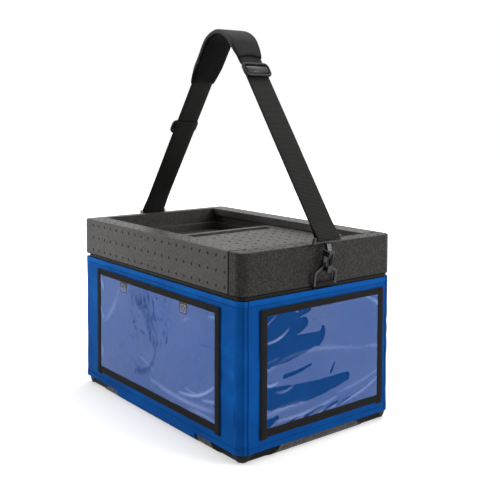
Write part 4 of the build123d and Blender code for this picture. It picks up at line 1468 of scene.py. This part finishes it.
def makeHook(side, sign):
    loop = softenedCopy(f"d_ring_tab_{side}", f"ringTab_{side}", bandFit["edge"])
    finishPiece(loop, "box", "webbing", [f"d_ring_tab_{side}"], shortWebbing)
    for node, name, body, grain, rounds, look in (
            ("d_ring", "ring", f"ring_{side}", 0.00055, 3, "blackMetal"),
            ("hook_body", "hook", "strap", 0.00055, 3, "blackMetal"),
            ("hook_gate", "gate", f"gate_{side}", 0.00045, 2, "latchMetalInShade")):
        reshape = drawnShank(sign) if name == "hook" else None
        piece = castCopy(f"{node}_{side}", f"{name}_{side}", grain, rounds, reshape)
        finishPiece(piece, body, "black_metal", [f"{node}_{side}"], plain[look])
    dress(f"hook_gate_pin_{side}", "plainSteel")
    dress(f"gate_spring_{side}", "plainSteel")


for place in ("front_right", "front_left", "back_right", "back_left"):
    makeCornerStrap(place)
for side, sign in sides:
    makeHook(side, sign)
print("metal parts made")


# shoulder strap

def onLeg(sign, s, n):
    # s along a leg from the hook's bar and n out from its middle
    return (sign * (barX - s * sin(lean) + n * cos(lean)), barZ + s * cos(lean) + n * sin(lean))


def evenly(points, step):
    # (x, z, dx, dz, distance) at equal steps along a run of points
    points = np.array(points)
    points = points[np.concatenate([[True], np.hypot(*np.diff(points, axis=0).T) > 1e-9])]
    length = np.concatenate([[0], np.cumsum(np.hypot(*np.diff(points, axis=0).T))])
    stops = np.linspace(0, length[-1], max(2, round(length[-1] / step)) + 1)
    x, z = np.interp(stops, length, points[:, 0]), np.interp(stops, length, points[:, 1])
    dx, dz = np.gradient(x, stops), np.gradient(z, stops)
    size = np.hypot(dx, dz)
    return np.column_stack([x, z, dx / size, dz / size, stops])


def beside(row, across, out, slide=0.0):
    # a point off a run, across its width, out of its face and on along it
    x, z, dx, dz, _ = row
    return (x + dz * out + dx * slide, across, z - dx * out + dz * slide)


def overCrown(offset, start, end):
    # from a place on the right leg over the top to one on the left leg
    radius = strap["crown"] + offset
    arc = [(radius * cos(a), crownZ + radius * sin(a)) for a in np.linspace(lean, pi - lean, 90)]
    return ([onLeg(1, start, offset), onLeg(1, legLength, offset)] + arc
            + [onLeg(-1, legLength, offset), onLeg(-1, end, offset)])


def strapRun():
    # the middle of the webbing from its right tail to its left tail
    layer, run, loop = strap["layer"], strap["loopRun"], strap["loop"]

    def roundBar(sign, angles):
        x, z = onLeg(sign, hook["rise"][sign], 0)
        return [(x + sign * loop * cos(a), z + loop * sin(a)) for a in angles]

    turn = np.linspace(pi + lean, 2 * pi + lean, 40)
    rightTail, leftTail = strap["tails"]
    points = [onLeg(1, rightTail, -layer), onLeg(1, run, -layer), onLeg(1, hook["rise"][1], -loop)]
    points += roundBar(1, turn) + overCrown(layer, run, run) + [onLeg(-1, hook["rise"][-1], loop)]
    points += roundBar(-1, np.linspace(2 * pi + lean, pi + lean, 40))
    return points + [onLeg(-1, run, -layer), onLeg(-1, leftTail, -layer)]


def bandMesh(name, run, profile, faceShare=None, shape=None):
    # sweeps a closed profile of (across, out) along a run in the XZ plane
    count = len(profile)
    verts, flat = [], []
    for row in run:
        for across, out in profile:
            if shape is not None:
                across, out = shape(row[4], across, out)
            verts.append(beside(row, across, out))
            flat.append((across, row[4]))
    mesh = newMesh(name, verts, tubeFaces(0, len(run), count))
    addFlatMap(mesh, flat)
    addValues(mesh, along=[stop for _, stop in flat], face=(faceShare or [1.0] * count) * len(run))
    mend(mesh, None)
    return mesh


def makeWebbing():
    half, thick = strap["width"] / 2, strap["thickness"] / 2
    top = [(across, thick) for across in (-half + strap["selvage"], -half * 0.5, 0, half * 0.5,
                                          half - strap["selvage"])]
    edge = [(half - 0.0002, thick * 0.6), (half, 0), (half - 0.0002, -thick * 0.6)]
    profile = top + edge + [(a, -o) for a, o in reversed(top)] + [(-a, -o) for a, o in edge]
    share = [1.0 if abs(o) == thick else 0.35 for _, o in profile]
    mesh = bandMesh("strapWebbing", evenly(strapRun(), strap["step"]), profile, share)
    piece = newObject("strapWebbing", mesh)
    grow(piece, webbingRibs, {"Pitch": strap["ribPitch"], "Height": strap["ribHeight"], "Webbing": webbing})
    smooth(piece.data, 60)
    finishPiece(piece, "strap", "webbing", ["strap_webbing"])


adjuster = {
    "halfWidth": 0.036,
    "halfLength": 0.0175,
    "corner": 0.0115,
    "rail": 0.0056,
    "height": 0.0062,
    "foot": 0.00245,
    "bow": 0.0012,
    "square": 0.6,             # lower makes the rail's section squarer
    "barRadius": 0.0024,
    "barSteps": 12,
    "railSteps": 16,
    "crest": 0.0098,
    "reach": 0.0098,
    "wrap": 0.0019,
    "wrapStep": 0.0006,
    "wrapCurve": (3.0, 0.62),
}


def adjusterPlace(side):
    # how far up its leg the adjuster stands at rest
    low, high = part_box(f"slider_{side}")
    centre = (low + high) / 2
    return (barX - abs(centre.x)) * sin(lean) + (centre.z - barZ) * cos(lean)


def makeAdjuster(side, sign):
    # a rounded frame swept round its outline, and the bar that the webbing folds over
    a = adjuster
    place = adjusterPlace(side)
    middle = a["foot"] + a["height"] / 2
    halfWide, halfLong, turn = [a[key] - a["rail"] / 2 for key in ("halfWidth", "halfLength", "corner")]
    size, steps = a["railSteps"], a["barSteps"]
    section = []
    for i in range(size):
        c, d = cos(2 * pi * i / size), sin(2 * pi * i / size)
        section.append((abs(c) ** a["square"] * (1 if c > 0 else -1) * a["rail"] / 2,
                        abs(d) ** a["square"] * (1 if d > 0 else -1) * a["height"] / 2))
    points = []

    def addPoint(s, across, n):
        x, z = onLeg(sign, s, n)
        points.append((x, across, z))

    for y, z, ny, nz in roundedOutline(halfWide, halfLong, turn, 8):
        bow = a["bow"] * (1 - (y / a["halfWidth"]) ** 2)
        for w, h in section:
            addPoint(place + z + nz * w, y + ny * w, middle + h * (1 + 40 * bow) + bow)
    first = len(points)
    for end in (-1, 1):
        for k in range(steps):
            angle = 2 * pi * k / steps
            addPoint(place + a["barRadius"] * cos(angle), end * halfWide, middle + a["barRadius"] * sin(angle))
    quads = [tuple(v % first for v in quad) for quad in strips(first // size + 1, size, True)]
    mesh = newMesh(f"adjuster_{side}", points, quads + tubeFaces(first, 2, steps))
    mend(mesh)
    smooth(mesh, 50)
    finishPiece(newObject(f"adjuster_{side}", mesh), f"adjuster_{side}", "adjuster", [f"slider_{side}"],
                plain["adjusterPlastic"])


def makeWrap(side, sign):
    # webbing folded over the adjuster's middle bar
    a = adjuster
    place, thick = adjusterPlace(side), a["wrap"] / 2
    flatness, roundness = a["wrapCurve"]
    swell = a["crest"] - a["foot"] - a["wrap"]
    run = []
    for t in np.linspace(-1, 1, 41):
        rise = (1 - abs(t) ** flatness) ** roundness
        run.append(onLeg(sign, place + t * a["reach"], a["foot"] + thick + swell * rise))
    half = strap["width"] / 2 - 0.0004
    top = [(-half + 0.001, thick), (0, thick), (half - 0.001, thick)]
    profile = top + [(half, 0)] + [(a, -o) for a, o in reversed(top)] + [(-half, 0)]
    mesh = bandMesh(f"adjusterWrap_{side}", evenly(run, a["wrapStep"]), profile)
    smooth(mesh, 60)
    finishPiece(newObject(mesh.name, mesh), f"adjuster_{side}", "webbing", [f"slider_wrap_{side}"],
                plain["rollWebbing"])


pad = {
    "right": 0.4435,
    "left": 0.382,
    "halfWidth": 0.040,
    "endHalf": 0.031,
    "taper": 0.056,
    "half": 0.0046,
    "round": 0.0040,
    "groove": 0.0009,
    "grooveIn": 0.0055,
    "grooveWidth": 0.0009,
    "mouth": 0.0016,
    "mouthIn": 0.0022,
    "arch": 0.005,             # how far the middle of each end stands back
    "archRun": 0.030,
    # depth of each ring at an end, its share of the thickness and whether it is pressed flat
    "mouthRings": ((0.010, 1, True), (0.0005, 1, True), (-0.0002, 0.55, False), (0.0012, 0.88, False)),
    "step": 0.0022,
    "threadOut": 0.0002,
    "unevenness": 0.00025,
    "edge": 0.0035,            # width of the bound edge
    "shares": (0.0, 0.2, 0.4, 0.6, 0.74, 0.81, 0.845, 0.865, 0.885, 0.92, 0.955, 0.98, 0.995),
}
padStuffing = {"pressure": 4.0, "frames": 20, "most": 0.0011}


def padHalfWidth(stop, total):
    t = min(1.0, min(stop, total - stop) / pad["taper"])
    return pad["endHalf"] + (pad["halfWidth"] - pad["endHalf"]) * sin(t * pi / 2) ** 0.9


def padSection(across, side, halfWidth, share=1.0):
    # how thick the pad is at a share of its width
    inward = (1 - abs(across)) * halfWidth
    full = pad["half"] * (0.93 + 0.07 * cos(across * pi / 2))
    edge = sqrt(max(0.0, 1 - (1 - min(1, inward / pad["round"])) ** 2))
    groove = pad["groove"] * exp(-((inward - pad["grooveIn"]) / pad["grooveWidth"]) ** 2)
    return side * share * (full * edge - groove)


def plump(piece):
    # cloth simulation swells the cover over its foam, each point moving only so far
    most, frames = padStuffing["most"], padStuffing["frames"]
    mesh = piece.data
    rest = np.zeros(len(mesh.vertices) * 3)
    swollen = rest.copy()
    mesh.vertices.foreach_get("co", rest)
    skin = piece.modifiers.new("cover", "CLOTH")
    for key, value in {"quality": 6, "mass": 0.25, "tension_stiffness": 12, "compression_stiffness": 12,
                       "bending_stiffness": 0.4, "use_pressure": True,
                       "uniform_pressure_force": padStuffing["pressure"]}.items():
        setattr(skin.settings, key, value)
    skin.settings.effector_weights.gravity = 0
    skin.collision_settings.use_collision = False
    skin.point_cache.frame_start, skin.point_cache.frame_end = 1, frames
    for number in range(1, frames + 1):
        bpy.context.scene.frame_set(number)
    moved = piece.evaluated_get(bpy.context.evaluated_depsgraph_get())
    moved.data.vertices.foreach_get("co", swollen)
    piece.modifiers.clear()
    bpy.context.scene.frame_set(1)
    shift = (swollen - rest).reshape(-1, 3)
    length = np.linalg.norm(shift, axis=1)
    print("pad cover moved by", round(float(length.mean()), 5), "and at most", round(float(length.max()), 5))
    shift *= (np.tanh(length / most) * most / np.maximum(length, 1e-9))[:, None]
    mesh.vertices.foreach_set("co", rest + shift.ravel())
    mesh.update()


def padMesh(run):
    total = run[-1][4]
    top = [(-a, 1) for a in reversed(pad["shares"][1:])] + [(a, 1) for a in pad["shares"]]
    profile = top + [(1.0, 0)] + [(a, -1) for a, _ in reversed(top)] + [(-1.0, 0)]
    count = len(profile)
    verts = []

    def addRing(row, halfWidth, share, flatten, arch):
        x, z = row[:2]
        for across, side in profile:
            out = padSection(across, side, halfWidth, share)
            if flatten:
                out = side * min(abs(out), pad["mouth"])
            y = across * halfWidth
            out += side * pad["unevenness"] * noise.noise(Vector((x * 40, y * 40, z * 40))) * share
            verts.append(beside(row, y, out, arch * (1 - across ** 2)))

    # the ends fold in round the webbing, and the rings between them follow its run
    for row, inward in ((run[0], 1), (run[-1], -1)):
        x, z, dx, dz, stop = row
        for depth, share, flatten in pad["mouthRings"]:
            width = pad["endHalf"] - (pad["mouthIn"] if flatten else 0.0)
            addRing((x + dx * depth * inward, z + dz * depth * inward, dx, dz, stop), width, share, flatten,
                    inward * pad["arch"])
    for row in run[2:-2]:
        near = min(row[4], total - row[4])
        arch = pad["arch"] * max(0.0, 1 - near / pad["archRun"]) * (1 if row[4] < total / 2 else -1)
        addRing(row, padHalfWidth(row[4], total), 1.0, False, arch)
    order = [0, 1, 2, 3, *range(8, len(verts) // count), 7, 6, 5, 4]
    quads = [(a * count + k, a * count + (k + 1) % count, b * count + (k + 1) % count, b * count + k)
             for a, b in zip(order, order[1:]) for k in range(count)]
    quads.append(tuple(range(count)))
    quads.append(tuple(4 * count + k for k in reversed(range(count))))
    mesh = newMesh("shoulderPad", verts, quads)
    mend(mesh)
    mesh.shade_smooth()
    return mesh


def makePad():
    run = evenly(overCrown(strap["layer"], pad["right"], pad["left"]), pad["step"])
    piece = newObject("shoulderPad", padMesh(run))
    plump(piece)
    finishPiece(piece, "strap", "pad_fabric", ["shoulder_pad"], padCloth)
    piece.data.materials.append(shadedPadLining)
    piece.data.materials.append(padEdge)
    # the underside takes the lining with its painted shade, the side edges the bound edge
    for face in piece.data.polygons:
        x, y, z = face.center
        inward = Vector((-x, 0, crownZ - 0.06 - z))
        under = face.normal.dot(inward) > 0.3 * inward.length
        face.material_index = 2 if abs(y) > pad["halfWidth"] - pad["edge"] else 1 if under else 0
    lines = []
    for side in (-1, 1):
        for edge in (-1, 1):
            line = []
            for row in run[3:-3]:
                halfWidth = padHalfWidth(row[4], run[-1][4])
                across = edge * (1 - pad["grooveIn"] / halfWidth)
                out = padSection(across, side, halfWidth) + side * pad["threadOut"]
                line.append(beside(row, across * halfWidth, out))
            lines.append(line)
    sewLines("padStitches", lines, "blackThread", "strap", "pad_fabric")


tongue = {
    "reach": 0.0145,
    "under": 0.02,             # how far it lies under the pad
    "half": 0.0325,
    "endHalf": 0.0305,
    "endRound": 0.004,
    "thickness": 0.0016,
    "drop": -0.0010,
    "step": 0.0015,
}


def makeTongue():
    # the pad's lower layer, which runs on under the webbing towards the right adjuster
    t = tongue
    ends = [onLeg(1, pad["right"] + along, t["drop"]) for along in (-t["reach"], t["under"])]
    run = evenly(ends, t["step"])
    thick = t["thickness"] / 2
    top = [(-0.985, thick * 0.7), (-0.95, thick), (0, thick), (0.95, thick), (0.985, thick * 0.7)]
    profile = [(-1, 0)] + top + [(1, 0)] + [(a, -o) for a, o in reversed(top)]

    def shape(stop, across, out):
        half = t["endHalf"] + (t["half"] - t["endHalf"]) * min(1.0, stop / run[-1][4])
        nearEnd = min(1.0, stop / t["endRound"])
        return across * half * (0.90 + 0.10 * sqrt(nearEnd * (2 - nearEnd))), out

    mesh = bandMesh("padTongue", run, profile, None, shape)
    smooth(mesh, 50)
    piece = newObject("padTongue", mesh)
    finishPiece(piece, "strap", "pad_fabric", (), padCloth)


makeWebbing()
for side, sign in sides:
    makeAdjuster(side, sign)
for side, sign in sides:
    makeWrap(side, sign)
makePad()
makeTongue()
print("strap made")
